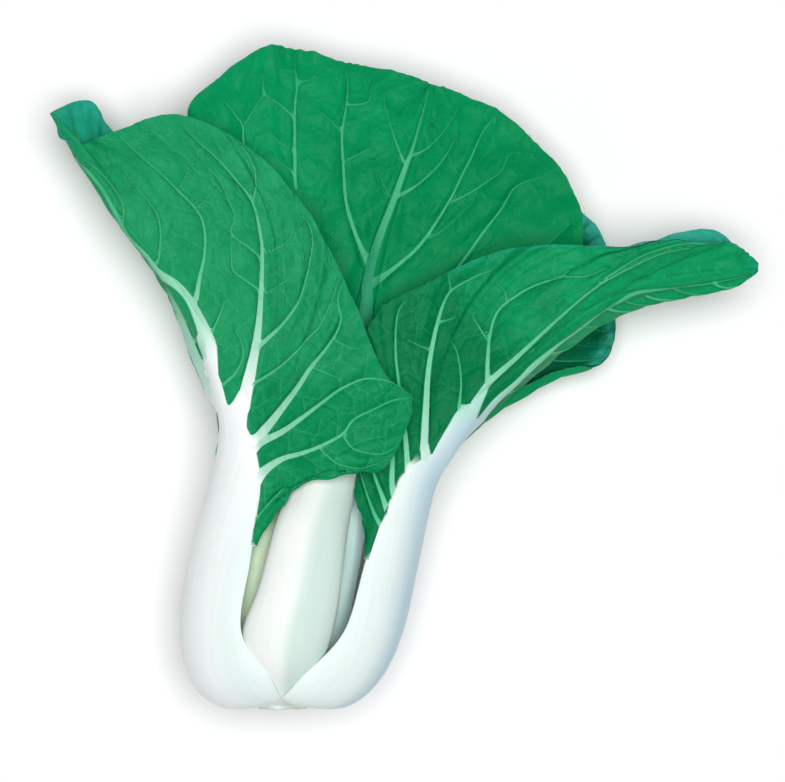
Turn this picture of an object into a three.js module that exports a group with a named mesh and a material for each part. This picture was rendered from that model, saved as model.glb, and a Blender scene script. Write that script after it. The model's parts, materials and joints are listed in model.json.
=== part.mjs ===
// Bok choy head lying on its back, leaves spread, in millimetres.
// +Y runs up the leaves, +Z points away from the surface that the head lies on.
import * as THREE from 'three';
import { mergeVertices } from 'three/addons/utils/BufferGeometryUtils.js';

// The head lies round one axis, parallel to Y, through its cut stem
const AXIS_X = -49;
const AXIS_Z = 44;

// Where the parts of a leaf begin and end, as shares of its length
const STALK_END = 0.88;       // the white midrib stops here
const BLADES_JOIN = 0.905;    // the two halves of the blade grow together here
const UPRIGHT_UNTIL = 0.3;    // below this the stalk's sections stay square to the axis
const LEANING_FROM = 0.55;    // above this they are square to the stalk itself

// Thickness and relief
const SEAM = 0.55;            // gap between a stalk and its blade
const BLADE = 1.0;            // thickness of the blade at its margin
const STALK_EDGE_BASE = 0.5;  // a stalk's edge is this, and a share of its middle
const STALK_EDGE_SHARE = 0.28;
const STALK_CROWN = 0.6;      // how full the stalk's section is
const RIDGE_HALF = 0.12;      // half width of a vein's ridge, in rows
const SEAM_RUN = 5;           // a blade leaves the stalk's edge straight for about this
const SEAM_SHARE = 0.4;       // or for this share of a short way to its bend
const SEAM_THICK = 0.4;       // share of the stalk's edge that the blade takes up there
const WAVE = 1.2;             // height of the waves in a margin
const WAVE_TURN = 2.5;        // turn of that wave for each row, in radians
const FLOOR_OUTER = 0;        // no outer face is lower than the surface
const FLOOR_INNER = 0.8;      // so a flat spot keeps at least this thickness

// Where a half blade's points lie between the stalk, 0, and the margin, 1
const BLADE_COLUMNS = {
  3: [0, 0.08, 0.6, 1],
  4: [0, 0.06, 0.45, 0.74, 1],
};

const COLOURS = {
  stalk: 0xe8f4ee,
  innerStalk: 0xdcebd6,
  frontBlade: 0x2da569,
  backBlade: 0x0a9656,
  innerBlade: 0x1d9a4e,
  stem: 0xe2dfbe,
};

// Stalk stations from base to tip: x, y, z, roll, right, left, thickness, curl.
// Roll is the way the outer face looks, in degrees from +X towards +Z.
// Right and left are the half widths, and curl is the radius of the section.
// Blade rows: place along the stalk, margin x, y, z, bend x, y, z, ridge height.
const LEAVES = [
  {
    name: 'front_left',
    colour: 'frontBlade',
    stalkRows: 21,
    stalkSpans: 8,
    bladeSpans: 4,
    stalk: [
      [-61, -123, 49, 158, 15.5, 9.5, 10, 14],
      [-71, -126, 53, 158, 25.4, 16.7, 11, 24],
      [-79.5, -117, 57, 158, 27.5, 23.5, 11, 33],
      [-82.5, -99, 58, 158, 25, 27, 11, 38],
      [-79, -72, 59, 156, 23.5, 23, 11, 34],
      [-71.5, -44, 61, 152, 17, 17, 10, 26],
      [-68, -22, 62, 148, 12.5, 12.5, 9, 20],
      [-72, -4, 62, 146, 8, 8, 7, 14],
      [-80, 16, 60, 146, 4.5, 4.5, 5, 10],
      [-96, 42, 56, 148, 3, 3, 3.6, 8],
      [-119, 66, 51, 150, 2, 2, 2.6, 8],
      [-142, 107, 44, 150, 0.7, 0.7, 1.2, 8],
    ],
    right: {
      start: 0.365,
      rows: [
        [0.385, -54, -56.8, 74, 0, 0, 1, 0],
        [0.41, -47.2, -46.8, 77, 0, 0, 2, 0],
        [0.43, -40.8, -40, 80, 0, 0, 3, 0],
        [0.45, -24, -35.6, 85, 0, 0, 5, 0],
        [0.465, -7.2, -34, 86, 2, -2, 8, 0],
        [0.48, 2.8, -9.2, 87, 0, 0, 10, 1],
        [0.53, -8.4, 2.8, 86, 0, 0, 12, 1],
        [0.55, -20.8, 31.6, 80, 4, -4, 13, 1],
        [0.585, -38.8, 66.8, 73, 18, -6, 14, 1],
        [0.61, -62, 91.6, 67, 32, -4, 13, 0],
        [0.64, -90.8, 105.2, 60, 46, 0, 12, 1],
        [0.78, -116.8, 98.4, 53, 28, 8, 8, 1],
        [0.85, -130, 94, 48, 20, 8, 6, 0],
        [0.905, -138, 96.8, 45, 10, 6, 3, 0],
      ],
    },
    left: {
      start: 0.56,
      rows: [
        [0.585, -73.2, -6.4, 34, -6, 0, 0, 0],
        [0.62, -71.6, 7.6, 20, -18, -4, 4, 0],
        [0.67, -70.8, 27.6, 16, -26, -8, 2, 1],
        [0.73, -76, 47.6, 17, -26, -8, 0, 1],
        [0.79, -88, 69.6, 20, -22, -10, -2, 1],
        [0.85, -117, 99, 28, -14, -8, -4, 0],
        [0.905, -128, 112.5, 33, -8, -4, -3, 0],
      ],
    },
  },
  {
    name: 'front_centre',
    colour: 'backBlade',
    stalkRows: 21,
    stalkSpans: 8,
    bladeSpans: 4,
    stalk: [
      [-49, -111, 60, 92, 6, 6, 8, 14],
      [-48.8, -116, 66, 92, 11.5, 12, 10, 21],
      [-47.8, -112, 74, 91, 15.5, 16.5, 10.5, 26],
      [-46, -98, 79.5, 90, 19.5, 19.5, 11, 27],
      [-42, -82, 81, 89, 17.5, 17.5, 11, 28],
      [-37, -60, 77, 88, 15, 15, 10.5, 26],
      [-31.5, -42, 70, 88, 12.5, 12.5, 9, 22],
      [-25, -14, 62, 88, 8, 8, 7, 18],
      [-16.5, 27, 57, 88, 3.9, 3.9, 4.6, 12],
      [-9, 58, 56, 88, 2.6, 2.6, 3.4, 10],
      [2, 89, 53, 88, 1.6, 1.6, 2.4, 8],
      [11, 118, 45, 88, 0.6, 0.6, 1.2, 8],
    ],
    right: {
      start: 0.595,
      rows: [
        [0.605, -10, -20, 55, 0, 0, 2, 0],
        [0.612, 6, -12, 50, 0, 0, 3, 0],
        [0.62, 26, 1.6, 46, 0, 0, 4, 0],
        [0.63, 52, 21.6, 42, 0, 0, 5, 0],
        [0.645, 68, 37.6, 42, 0, 4, 6, 0],
        [0.66, 71.6, 55.6, 42, 0, 10, 6, 0],
        [0.675, 67.2, 75.6, 41, 0, 18, 6, 1],
        [0.71, 56, 92.4, 40, 4, 6, 6, 0],
        [0.765, 40, 106.4, 40, 7, -8, 5, 1],
        [0.85, 26, 113.6, 41, 4, -6, 4, 1],
        [0.905, 18, 116.4, 43, 0, -2, 2, 0],
      ],
    },
    left: {
      start: 0.56,
      rows: [
        [0.575, -48, -20.4, 54, 0, 0, 2, 0],
        [0.585, -62, 3.6, 48, 0, 0, 3, 0],
        [0.595, -76, 31.6, 44, 0, 0, 4, 0],
        [0.605, -86, 63.6, 42, -4, 2, 5, 0],
        [0.615, -88.4, 91.6, 42, -10, 4, 6, 0],
        [0.63, -86, 109.6, 42, -16, 8, 6, 1],
        [0.66, -74.8, 121.6, 42, -22, 14, 6, 1],
        [0.68, -57.2, 132.4, 41, -22, 10, 6, 0],
        [0.71, -43.6, 132.8, 40, -22, 3, 6, 1],
        [0.785, -24.4, 128, 40, -12, 6, 5, 1],
        [0.85, -6, 124.4, 42, -6, 2, 4, 0],
        [0.905, 4.5, 121.5, 43.5, -2, 0, 2, 0],
      ],
    },
  },
  {
    name: 'front_right',
    colour: 'frontBlade',
    stalkRows: 21,
    stalkSpans: 8,
    bladeSpans: 4,
    stalk: [
      [-36.8, -123, 48.4, 20, 9, 15.5, 10, 14],
      [-26.4, -126, 52.2, 20, 16.2, 26, 11, 24],
      [-15.5, -117, 55, 20, 23, 28, 11, 33],
      [-7.5, -99, 57, 20, 26.5, 26, 11, 38],
      [-1.5, -72, 58, 22, 23, 22, 11, 34],
      [3.2, -52, 60, 25, 18, 17, 10, 28],
      [8, -38, 61, 28, 13, 13, 9, 22],
      [15.5, -27.5, 62, 32, 9, 9, 7.5, 16],
      [25, -15, 62.5, 32, 6, 6, 6, 12],
      [46.4, 3.2, 62, 32, 4, 4, 4.4, 10],
      [75, 27, 60, 32, 3, 3, 3.4, 8],
      [100, 36, 57, 32, 2, 2, 2.4, 8],
      [141, 43, 50, 32, 0.7, 0.7, 1.2, 8],
    ],
    right: {
      start: 0.54,
      rows: [
        [0.57, 18, -24.4, 40, 6, -10, 0, 0],
        [0.65, 34, 3.6, 28, 8, -13, 0, 0],
        [0.72, 50, 19.6, 24, 10, -14, 0, 1],
        [0.78, 68, 35.6, 26, 12, -16, 0, 1],
        [0.85, 98.8, 54.4, 36, 14, -23, 0, 0],
        [0.905, 123, 60.5, 40, 12, -25, 0, 0],
      ],
    },
    left: {
      start: 0.335,
      rows: [
        [0.36, -16, -56, 73, 0, 0, 0, 0],
        [0.4, -16, -38.4, 70, 0, 0, 1, 0],
        [0.445, -16.5, -20.4, 70, 0, 0, 2, 1],
        [0.47, -19, -0.4, 71, 0, 0, 4, 0],
        [0.517, -11.6, 24.4, 72, -2, 0, 6, 0],
        [0.545, -1.2, 32.8, 73, -6, 0, 7, 1],
        [0.58, 29.2, 47.6, 76, -13.6, 0, 8, 1],
        [0.62, 54, 52.8, 75, -20, 15, 8, 0],
        [0.635, 81.2, 52.4, 72, -24, 23, 8, 1],
        [0.66, 114, 55.2, 64, 0, 22, 6, 1],
        [0.8, 126.8, 55.2, 58, 4, 8, 4, 0],
        [0.85, 133.2, 52.8, 56, 4, 6, 2, 0],
        [0.905, 138, 49.2, 53, 2, 2, 1, 0],
      ],
    },
  },
  {
    name: 'back_right',
    colour: 'backBlade',
    stalkRows: 17,
    stalkSpans: 6,
    bladeSpans: 4,
    stalk: [
      [-41.5, -122, 33.4, 305, 7.4, 7.2, 10, 14],
      [-35.5, -125, 24.5, 305, 13.2, 12.6, 11, 24],
      [-28, -117, 14, 305, 19, 19, 11, 33],
      [-24, -99, 7.6, 305, 21.8, 21.8, 11, 38],
      [-20, -72, 7.4, 303, 20, 20, 10, 36],
      [-10, -45, 9, 300, 14, 14, 8, 30],
      [6, -20, 11, 298, 9, 9, 6.5, 24],
      [26, 3, 11, 296, 5.5, 5.5, 5, 16],
      [48, 22, 9, 294, 3.6, 3.6, 3.6, 12],
      [68, 37, 6, 292, 2.4, 2.4, 2.6, 10],
      [84, 49, 0.3, 290, 0.7, 0.7, 1.2, 8],
    ],
    right: {
      start: 0.5,
      rows: [
        [0.53, -22, -20, 12, 0, 0, 0, 0],
        [0.57, -22, 7.6, 12, 0, 0, -1, 0],
        [0.62, -10, 39.6, 13, -4, 4, -2, 1],
        [0.68, 14, 63.6, 14, -6, 8, -2, 1],
        [0.76, 46, 75.6, 18, -4, 6, -3, 1],
        [0.85, 69.2, 69.6, 17, 0, 4, -2, 0],
        [0.905, 80.4, 58.8, 12, 0, 2, -1, 0],
      ],
    },
    left: {
      start: 0.5,
      rows: [
        [0.53, 10.8, -36.4, 20, 2, -2, -2, 0],
        [0.57, 26, -21.2, 24, 4, -6, -4, 0],
        [0.62, 38, -8.4, 26, 6, -10, -4, 0],
        [0.68, 59.2, 2, 26, 8, -12, -4, 1],
        [0.76, 77.2, 7.2, 25, 8, -10, -4, 1],
        [0.85, 84.8, 13.6, 23, 6, -6, -4, 0],
        [0.905, 84.6, 30, 15, 2, -2, -4, 0],
      ],
    },
  },
  {
    name: 'back_left',
    colour: 'backBlade',
    stalkRows: 17,
    stalkSpans: 6,
    bladeSpans: 4,
    stalk: [
      [-56.5, -122, 33.4, 235, 8, 7.4, 10, 14],
      [-62.5, -125, 24.5, 235, 13.2, 13.2, 11, 24],
      [-66, -117, 14, 235, 19, 19, 11, 33],
      [-68, -99, 7.6, 235, 21.8, 21.8, 11, 38],
      [-67, -72, 7.4, 237, 20, 20, 10, 36],
      [-64, -45, 8.3, 240, 14, 14, 8, 30],
      [-62, -18, 8, 244, 9, 9, 6.5, 24],
      [-64, 12, 6, 248, 5.5, 5.5, 5, 16],
      [-67, 42, 5, 250, 3.6, 3.6, 3.6, 12],
      [-66, 75, 4, 250, 2.4, 2.4, 2.6, 10],
      [-60, 116, 0.3, 250, 0.7, 0.7, 1.2, 8],
    ],
    right: {
      start: 0.47,
      rows: [
        [0.5, -75, -16, 10, 0, 0, 0, 0],
        [0.56, -80, 1.6, 9, 0, 0, 0, 0],
        [0.63, -88, 23.6, 9, -2, 4, -1, 1],
        [0.7, -96, 45.6, 9, -2, 6, -1, 1],
        [0.78, -98.8, 69.6, 9, -2, 8, -1, 1],
        [0.85, -93.2, 91.6, 9, 0, 6, -1, 0],
        [0.905, -78.8, 109.6, 7, 0, 2, -1, 0],
      ],
    },
    left: {
      start: 0.47,
      rows: [
        [0.5, -45, -36, 7, 0, 0, 0, 0],
        [0.56, -41, -10, 8, 0, 0, 0, 0],
        [0.63, -38, 21.6, 9, 2, 4, -1, 1],
        [0.7, -34, 47.6, 9, 2, 6, -1, 1],
        [0.78, -34.8, 73.6, 9, 2, 8, -1, 1],
        [0.85, -40, 95.6, 9, 0, 6, -1, 0],
        [0.905, -48, 111.6, 7, 0, 2, -1, 0],
      ],
    },
  },
  {
    name: 'inner_back',
    colour: 'backBlade',
    stalkRows: 15,
    stalkSpans: 6,
    bladeSpans: 4,
    stalk: [
      [-46, -111, 31.5, 270, 8, 8, 8, 12],
      [-46, -112.5, 26, 270, 12, 12, 9, 16],
      [-46, -104, 21, 270, 16, 16, 9, 22],
      [-45, -86, 18.5, 270, 16, 16, 9, 25],
      [-42, -60, 18, 270, 13.5, 13.5, 8, 24],
      [-37, -34, 18.5, 270, 9.5, 9.5, 6.5, 22],
      [-31, -8, 19.5, 270, 6, 6, 5, 16],
      [-25, 20, 21, 270, 4, 4, 4, 12],
      [-20, 50, 22, 270, 2.8, 2.8, 3, 10],
      [-16, 80, 22, 270, 1.6, 1.6, 2.2, 8],
      [-14, 106, 20, 270, 0.6, 0.6, 1.2, 8],
    ],
    right: {
      start: 0.44,
      rows: [
        [0.47, -50, -28, 20, 0, 0, 0, 0],
        [0.53, -54, -2, 23, 0, 0, 0, 0],
        [0.6, -60, 22, 26, 0, 4, 0, 1],
        [0.68, -60, 48, 27, 0, 6, 0, 1],
        [0.76, -54, 72, 27, 0, 8, 0, 1],
        [0.85, -42, 94, 25, 0, 6, 0, 0],
        [0.905, -30, 104, 23, 0, 2, 0, 0],
      ],
    },
    left: {
      start: 0.44,
      rows: [
        [0.47, -22, -32, 20, 0, 0, 0, 0],
        [0.53, -11, -12, 23, 0, 0, 0, 0],
        [0.6, 2, 12, 26, 0, 4, 0, 1],
        [0.68, 12, 38, 27, 0, 6, 0, 1],
        [0.76, 14, 64, 27, 0, 8, 0, 1],
        [0.85, 8, 88, 25, 0, 6, 0, 0],
        [0.905, -2, 100, 23, 0, 2, 0, 0],
      ],
    },
  },
  {
    name: 'inner_left',
    colour: 'innerBlade',
    stalkRows: 14,
    stalkSpans: 6,
    bladeSpans: 3,
    stalk: [
      [-58.5, -110.5, 49.5, 150, 4, 8, 7, 11],
      [-62.5, -111.5, 52.5, 150, 7, 12, 8, 15],
      [-66, -104, 56, 145, 11, 14, 8.5, 20],
      [-66, -86, 59, 138, 13, 14, 8.5, 24],
      [-62.5, -62, 60, 130, 13, 13, 7.5, 24],
      [-55, -40, 54, 120, 9, 9, 6, 20],
      [-50, -20, 46, 110, 5, 5, 4.5, 15],
      [-46, 2, 41, 100, 3, 3, 3.2, 10],
      [-42, 24, 38, 95, 1.8, 1.8, 2.2, 8],
      [-40, 40, 36, 92, 0.6, 0.6, 1.2, 8],
    ],
    right: {
      start: 0.5,
      rows: [
        [0.55, -44, -38, 52, 0, 0, 0, 0],
        [0.62, -37, -24, 47, 0, 0, 1, 0],
        [0.7, -33, -8, 43, 0, 2, 1, 0],
        [0.78, -31, 8, 41, 0, 2, 1, 0],
        [0.85, -32, 20, 39, 0, 2, 1, 0],
        [0.905, -35, 31, 37.5, 0, 0, 0, 0],
      ],
    },
    left: {
      start: 0.5,
      rows: [
        [0.55, -67, -36, 47, 0, 0, 0, 0],
        [0.62, -66, -17, 45, 0, 0, 1, 0],
        [0.7, -63, 0, 42.5, 0, 2, 1, 0],
        [0.78, -60, 14, 40, 0, 2, 1, 0],
        [0.85, -55, 25, 38.5, 0, 2, 1, 0],
        [0.905, -48, 34, 37, 0, 0, 0, 0],
      ],
    },
  },
  {
    name: 'inner_right',
    colour: 'innerBlade',
    stalkRows: 14,
    stalkSpans: 6,
    bladeSpans: 3,
    stalk: [
      [-39.5, -110.5, 49.5, 30, 8, 4, 7, 11],
      [-35.5, -111.5, 52.5, 30, 12, 7, 8, 15],
      [-31, -104, 56, 35, 14, 11, 8.5, 20],
      [-28, -86, 59, 42, 14, 13, 8.5, 24],
      [-24, -60, 60, 50, 13, 13, 7.5, 24],
      [-20, -38, 54, 58, 9, 9, 6, 20],
      [-14, -18, 46, 66, 5, 5, 4.5, 15],
      [-7, 4, 41, 75, 3, 3, 3.2, 10],
      [0, 26, 38, 82, 1.8, 1.8, 2.2, 8],
      [5, 46, 36, 85, 0.6, 0.6, 1.2, 8],
    ],
    right: {
      start: 0.5,
      rows: [
        [0.55, -7, -41, 47, 0, 0, 0, 0],
        [0.62, -5, -26, 44, 0, 0, 1, 0],
        [0.7, 2, -8, 41, 0, 2, 1, 0],
        [0.78, 8, 10, 39.5, 0, 2, 1, 0],
        [0.85, 11, 24, 38.5, 0, 2, 1, 0],
        [0.905, 10, 36, 37.5, 0, 0, 0, 0],
      ],
    },
    left: {
      start: 0.5,
      rows: [
        [0.55, -28, -30, 52, 0, 0, 0, 0],
        [0.62, -26, -14, 47, 0, 0, 1, 0],
        [0.7, -22, 4, 43, 0, 2, 1, 0],
        [0.78, -17, 20, 41, 0, 2, 1, 0],
        [0.85, -12, 32, 39, 0, 2, 1, 0],
        [0.905, -4, 41, 37.5, 0, 0, 0, 0],
      ],
    },
  },
  {
    name: 'heart_left',
    colour: 'innerBlade',
    stalkRows: 10,
    stalkSpans: 4,
    bladeSpans: 3,
    stalk: [
      [-50, -108, 44, 180, 5, 5, 4, 7],
      [-53, -100, 44, 180, 7, 7, 5, 9],
      [-54.5, -84, 44, 180, 7, 7, 5, 10],
      [-53, -66, 43.5, 180, 5, 5, 4, 9],
      [-50, -52, 42, 185, 2.5, 2.5, 3, 8],
      [-48, -36, 40, 190, 0.6, 0.6, 1.2, 8],
    ],
    right: {
      start: 0.5,
      rows: [
        [0.56, -51, -66, 50, 0, 0, 0, 0],
        [0.68, -50, -56, 52, 0, 0, 0, 0],
        [0.78, -49.5, -48, 51, 0, 0, 0, 0],
        [0.85, -49, -43, 48, 0, 0, 0, 0],
        [0.905, -48.5, -39, 44, 0, 0, 0, 0],
      ],
    },
    left: {
      start: 0.5,
      rows: [
        [0.56, -51, -66, 37, 0, 0, 0, 0],
        [0.68, -50, -56, 34, 0, 0, 0, 0],
        [0.78, -49.5, -48, 34, 0, 0, 0, 0],
        [0.85, -49, -43, 35, 0, 0, 0, 0],
        [0.905, -48.5, -39, 37, 0, 0, 0, 0],
      ],
    },
  },
  {
    name: 'heart_right',
    colour: 'innerBlade',
    stalkRows: 10,
    stalkSpans: 4,
    bladeSpans: 3,
    stalk: [
      [-42, -108, 44, 0, 5, 5, 4, 7],
      [-39, -100, 44, 0, 7, 7, 5, 9],
      [-37.5, -84, 44, 0, 7, 7, 5, 10],
      [-38, -66, 43.5, 0, 5, 5, 4, 9],
      [-40, -52, 42, -5, 2.5, 2.5, 3, 8],
      [-42, -38, 40, -10, 0.6, 0.6, 1.2, 8],
    ],
    right: {
      start: 0.5,
      rows: [
        [0.56, -40, -66, 37, 0, 0, 0, 0],
        [0.68, -40.5, -57, 34, 0, 0, 0, 0],
        [0.78, -41, -50, 34, 0, 0, 0, 0],
        [0.85, -41, -45, 35, 0, 0, 0, 0],
        [0.905, -41.5, -41, 37, 0, 0, 0, 0],
      ],
    },
    left: {
      start: 0.5,
      rows: [
        [0.56, -40, -66, 50, 0, 0, 0, 0],
        [0.68, -40.5, -57, 52, 0, 0, 0, 0],
        [0.78, -41, -50, 51, 0, 0, 0, 0],
        [0.85, -41, -45, 48, 0, 0, 0, 0],
        [0.905, -41.5, -41, 44, 0, 0, 0, 0],
      ],
    },
  },
];

// Cut stem: radius and place along the axis, from the cut face inwards
const STEM_PROFILE = [
  [0, -132], [10, -132], [10.8, -130], [10.8, -118], [7.5, -115], [7, -110.5], [3, -109.7], [0, -109.7],
];
const STEM_SIDES = 16;

// A smooth run through rows of numbers, read at a place between them
function along(rows, place) {
  const last = rows.length - 1;
  const index = Math.min(Math.floor(place), last - 1);
  const u = place - index;
  const row = (k) => rows[THREE.MathUtils.clamp(k, 0, last)];
  return rows[0].map((_, column) => {
    const a = row(index - 1)[column];
    const b = row(index)[column];
    const c = row(index + 1)[column];
    const d = row(index + 2)[column];
    return b + 0.5 * u * (c - a + u * (2 * a - 5 * b + 4 * c - d + u * (3 * (b - c) + d - a)));
  });
}

// The stalk's section at a share of its length: centre, directions and sizes
function section(leaf, share) {
  const last = leaf.stalk.length - 1;
  const step = 0.25;
  const place = share * last;
  const [x, y, z, roll, right, left, thick, curl] = along(leaf.stalk, place);
  const before = along(leaf.stalk, Math.max(place - step, 0));
  const after = along(leaf.stalk, Math.min(place + step, last));
  const run = new THREE.Vector3(after[0] - before[0], after[1] - before[1], after[2] - before[2]);
  const lean = THREE.MathUtils.smoothstep(share, UPRIGHT_UNTIL, LEANING_FROM);
  const ahead = new THREE.Vector3(0, 1, 0).lerp(run.normalize(), lean).normalize();
  const side = ahead.clone().cross(new THREE.Vector3(0, 0, 1)).normalize();
  const rise = side.clone().cross(ahead);
  const turn = THREE.MathUtils.degToRad(roll);
  const outward = side.multiplyScalar(Math.cos(turn)).addScaledVector(rise, Math.sin(turn));
  const across = ahead.clone().cross(outward);
  return { centre: new THREE.Vector3(x, y, z), outward, across, right, left, thick, curl };
}

// A point of the stalk's middle surface: w runs from -1, left edge, to 1, right edge
function stalkPoint(cut, w, beyond = 0) {
  const half = w < 0 ? cut.left : cut.right;
  const angle = (w * half + Math.sign(w) * beyond) / cut.curl;
  return cut.centre.clone()
    .addScaledVector(cut.outward, cut.curl * (Math.cos(angle) - 1))
    .addScaledVector(cut.across, cut.curl * Math.sin(angle));
}

// The way the stalk's surface runs on at w, away from its middle
function tangentAt(cut, w) {
  const half = w < 0 ? cut.left : cut.right;
  const angle = w * half / cut.curl;
  return cut.outward.clone().multiplyScalar(-Math.sin(angle))
    .addScaledVector(cut.across, Math.cos(angle))
    .multiplyScalar(Math.sign(w));
}

function edgeThickness(cut) {
  return STALK_EDGE_BASE + STALK_EDGE_SHARE * cut.thick;
}

// Closes a curved sheet into a solid: each point moves out and in along its normal
function sheetSolid(points, faces, outer, inner) {
  const normals = points.map(() => new THREE.Vector3());
  const edges = new Set();
  for (const [a, b, c] of faces) {
    const ab = points[b].clone().sub(points[a]);
    const normal = ab.cross(points[c].clone().sub(points[a]));
    for (const corner of [a, b, c]) normals[corner].add(normal);
    for (const [from, to] of [[a, b], [b, c], [c, a]]) edges.add(`${from} ${to}`);
  }
  const count = points.length;
  const position = [];
  points.forEach((point, i) => {
    const out = point.clone().addScaledVector(normals[i].normalize(), outer[i]);
    position.push(out.x, out.y, Math.max(out.z, FLOOR_OUTER));
  });
  points.forEach((point, i) => {
    const back = point.clone().addScaledVector(normals[i], -inner[i]);
    position.push(back.x, back.y, Math.max(back.z, FLOOR_INNER));
  });
  const index = [];
  for (const [a, b, c] of faces) {
    index.push(a, b, c);
    index.push(count + a, count + c, count + b);
    for (const [from, to] of [[a, b], [b, c], [c, a]]) {
      if (edges.has(`${to} ${from}`)) continue;
      index.push(to, from, count + from);
      index.push(to, count + from, count + to);
    }
  }
  const geometry = new THREE.BufferGeometry();
  geometry.setAttribute('position', new THREE.Float32BufferAttribute(position, 3));
  geometry.setIndex(index);
  geometry.computeVertexNormals();
  return geometry;
}

// Stalk and midrib: a curved sheet, thick in its middle and thin at its edges
function stalkSolid(leaf) {
  const points = [];
  const half = [];
  const faces = [];
  const spans = leaf.stalkSpans;
  for (let i = 0; i <= leaf.stalkRows; i += 1) {
    const cut = section(leaf, STALK_END * i / leaf.stalkRows);
    const edge = edgeThickness(cut);
    for (let j = 0; j <= spans; j += 1) {
      const w = -1 + 2 * j / spans;
      points.push(stalkPoint(cut, w));
      half.push((edge + (cut.thick - edge) * (1 - w * w) ** STALK_CROWN) / 2);
    }
  }
  for (let i = 0; i < leaf.stalkRows; i += 1) {
    for (let j = 0; j < spans; j += 1) {
      const corner = i * (spans + 1) + j;
      const above = corner + spans + 1;
      faces.push([corner, corner + 1, above + 1], [corner, above + 1, above]);
    }
  }
  return sheetSolid(points, faces, half, half);
}

// The rows that a half blade is made in: every control row, the middle between
// two of them, and the foot of each vein's ridge on either side
function rowPlaces(rows) {
  const places = [];
  const last = rows.length - 1;
  for (let i = 1; i <= last; i += 1) {
    const ridge = rows[i][7] > 0;
    places.push(i - 0.5);
    if (ridge) places.push(i - RIDGE_HALF);
    places.push(i);
    if (ridge) places.push(i + RIDGE_HALF);
  }
  return places;
}

// One half of a blade, from the stalk's edge to its waved margin
function halfBlade(leaf, sideways, sheet) {
  const half = sideways > 0 ? leaf.right : leaf.left;
  const startCut = section(leaf, half.start);
  const start = stalkPoint(startCut, sideways, SEAM);
  const tip = section(leaf, 1).centre;
  const rows = [
    [half.start, ...start.toArray(), 0, 0, 0, 0],
    ...half.rows,
    [1, ...tip.toArray(), 0, 0, 0, 0],
  ];
  const last = rows.length - 1;
  const first = sheet.add(`start ${sideways}`, start, BLADE, 0);
  let previous = new Array(leaf.bladeSpans + 1).fill(first);
  for (const place of rowPlaces(rows)) {
    const under = Math.min(Math.floor(place), last - 1);
    const share = THREE.MathUtils.lerp(rows[under][0], rows[under + 1][0], place - under);
    const cut = section(leaf, share);
    const joined = share >= BLADES_JOIN;
    const inner = joined ? cut.centre : stalkPoint(cut, sideways, SEAM);
    const [, x, y, z, bendX, bendY, bendZ] = along(rows, place);
    const wave = WAVE * Math.sin(WAVE_TURN * place) * Math.sin(Math.PI * place / last);
    const margin = new THREE.Vector3(x, y, z + wave);
    const bend = inner.clone().lerp(margin, 0.5).add(new THREE.Vector3(bendX, bendY, bendZ));
    const run = Math.min(SEAM_RUN, SEAM_SHARE * inner.distanceTo(bend));
    const leave = inner.clone().addScaledVector(tangentAt(cut, sideways), run);
    const curve = new THREE.CubicBezierCurve3(inner, leave, bend, margin);
    const ridge = Number.isInteger(place) ? rows[place][7] : 0;
    const row = [];
    for (let j = 0; j <= leaf.bladeSpans; j += 1) {
      const v = BLADE_COLUMNS[leaf.bladeSpans][j];
      const key = place === last ? 'tip' : `${joined && j === 0 ? 'spine' : sideways} ${share} ${j}`;
      const extra = SEAM_THICK * Math.max(edgeThickness(cut) - BLADE, 0);
      const thick = BLADE + extra * (1 - v) ** 4;
      row.push(sheet.add(key, curve.getPoint(v), thick, ridge * (1 - v)));
    }
    for (let j = 0; j < leaf.bladeSpans; j += 1) {
      const [a, b, c, d] = [previous[j], previous[j + 1], row[j + 1], row[j]];
      const pair = [[a, b, c], [a, c, d]];
      for (const face of pair) {
        if (new Set(face).size < 3) continue;
        sheet.faces.push(sideways > 0 ? face : face.reverse());
      }
    }
    previous = row;
  }
}

// Both halves of a blade, grown together above the end of the midrib
function bladeSolid(leaf) {
  const sheet = { points: [], outer: [], inner: [], faces: [], named: new Map() };
  sheet.add = (key, point, thick, ridge) => {
    if (!sheet.named.has(key)) {
      sheet.named.set(key, sheet.points.length);
      sheet.points.push(point);
      sheet.outer.push(thick / 2 + ridge);
      sheet.inner.push(thick / 2);
    }
    return sheet.named.get(key);
  };
  halfBlade(leaf, 1, sheet);
  halfBlade(leaf, -1, sheet);
  return sheetSolid(sheet.points, sheet.faces, sheet.outer, sheet.inner);
}

// The cut stem that every stalk grows from
function stemSolid() {
  const profile = STEM_PROFILE.map(([radius, y]) => new THREE.Vector2(radius, y));
  const lathe = new THREE.LatheGeometry(profile, STEM_SIDES);
  lathe.deleteAttribute('normal');
  lathe.deleteAttribute('uv');
  const geometry = mergeVertices(lathe);
  geometry.computeVertexNormals();
  return geometry;
}

function piece(name, geometry, colour, roughness) {
  const material = new THREE.MeshStandardMaterial({ color: COLOURS[colour], roughness, metalness: 0 });
  const mesh = new THREE.Mesh(geometry, material);
  mesh.name = name;
  return mesh;
}

function leafGroup(leaf) {
  const group = new THREE.Group();
  const pale = leaf.colour === 'innerBlade' ? 'innerStalk' : 'stalk';
  group.add(piece(`${leaf.name}_stalk`, stalkSolid(leaf), pale, 0.4));
  group.add(piece(`${leaf.name}_blade`, bladeSolid(leaf), leaf.colour, 0.55));
  return group;
}

const head = new THREE.Group();
const stem = piece('stem_base', stemSolid(), 'stem', 0.8);
stem.position.set(AXIS_X, 0, AXIS_Z);
head.add(stem);
for (const leaf of LEAVES) head.add(leafGroup(leaf));

export default head;
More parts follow.
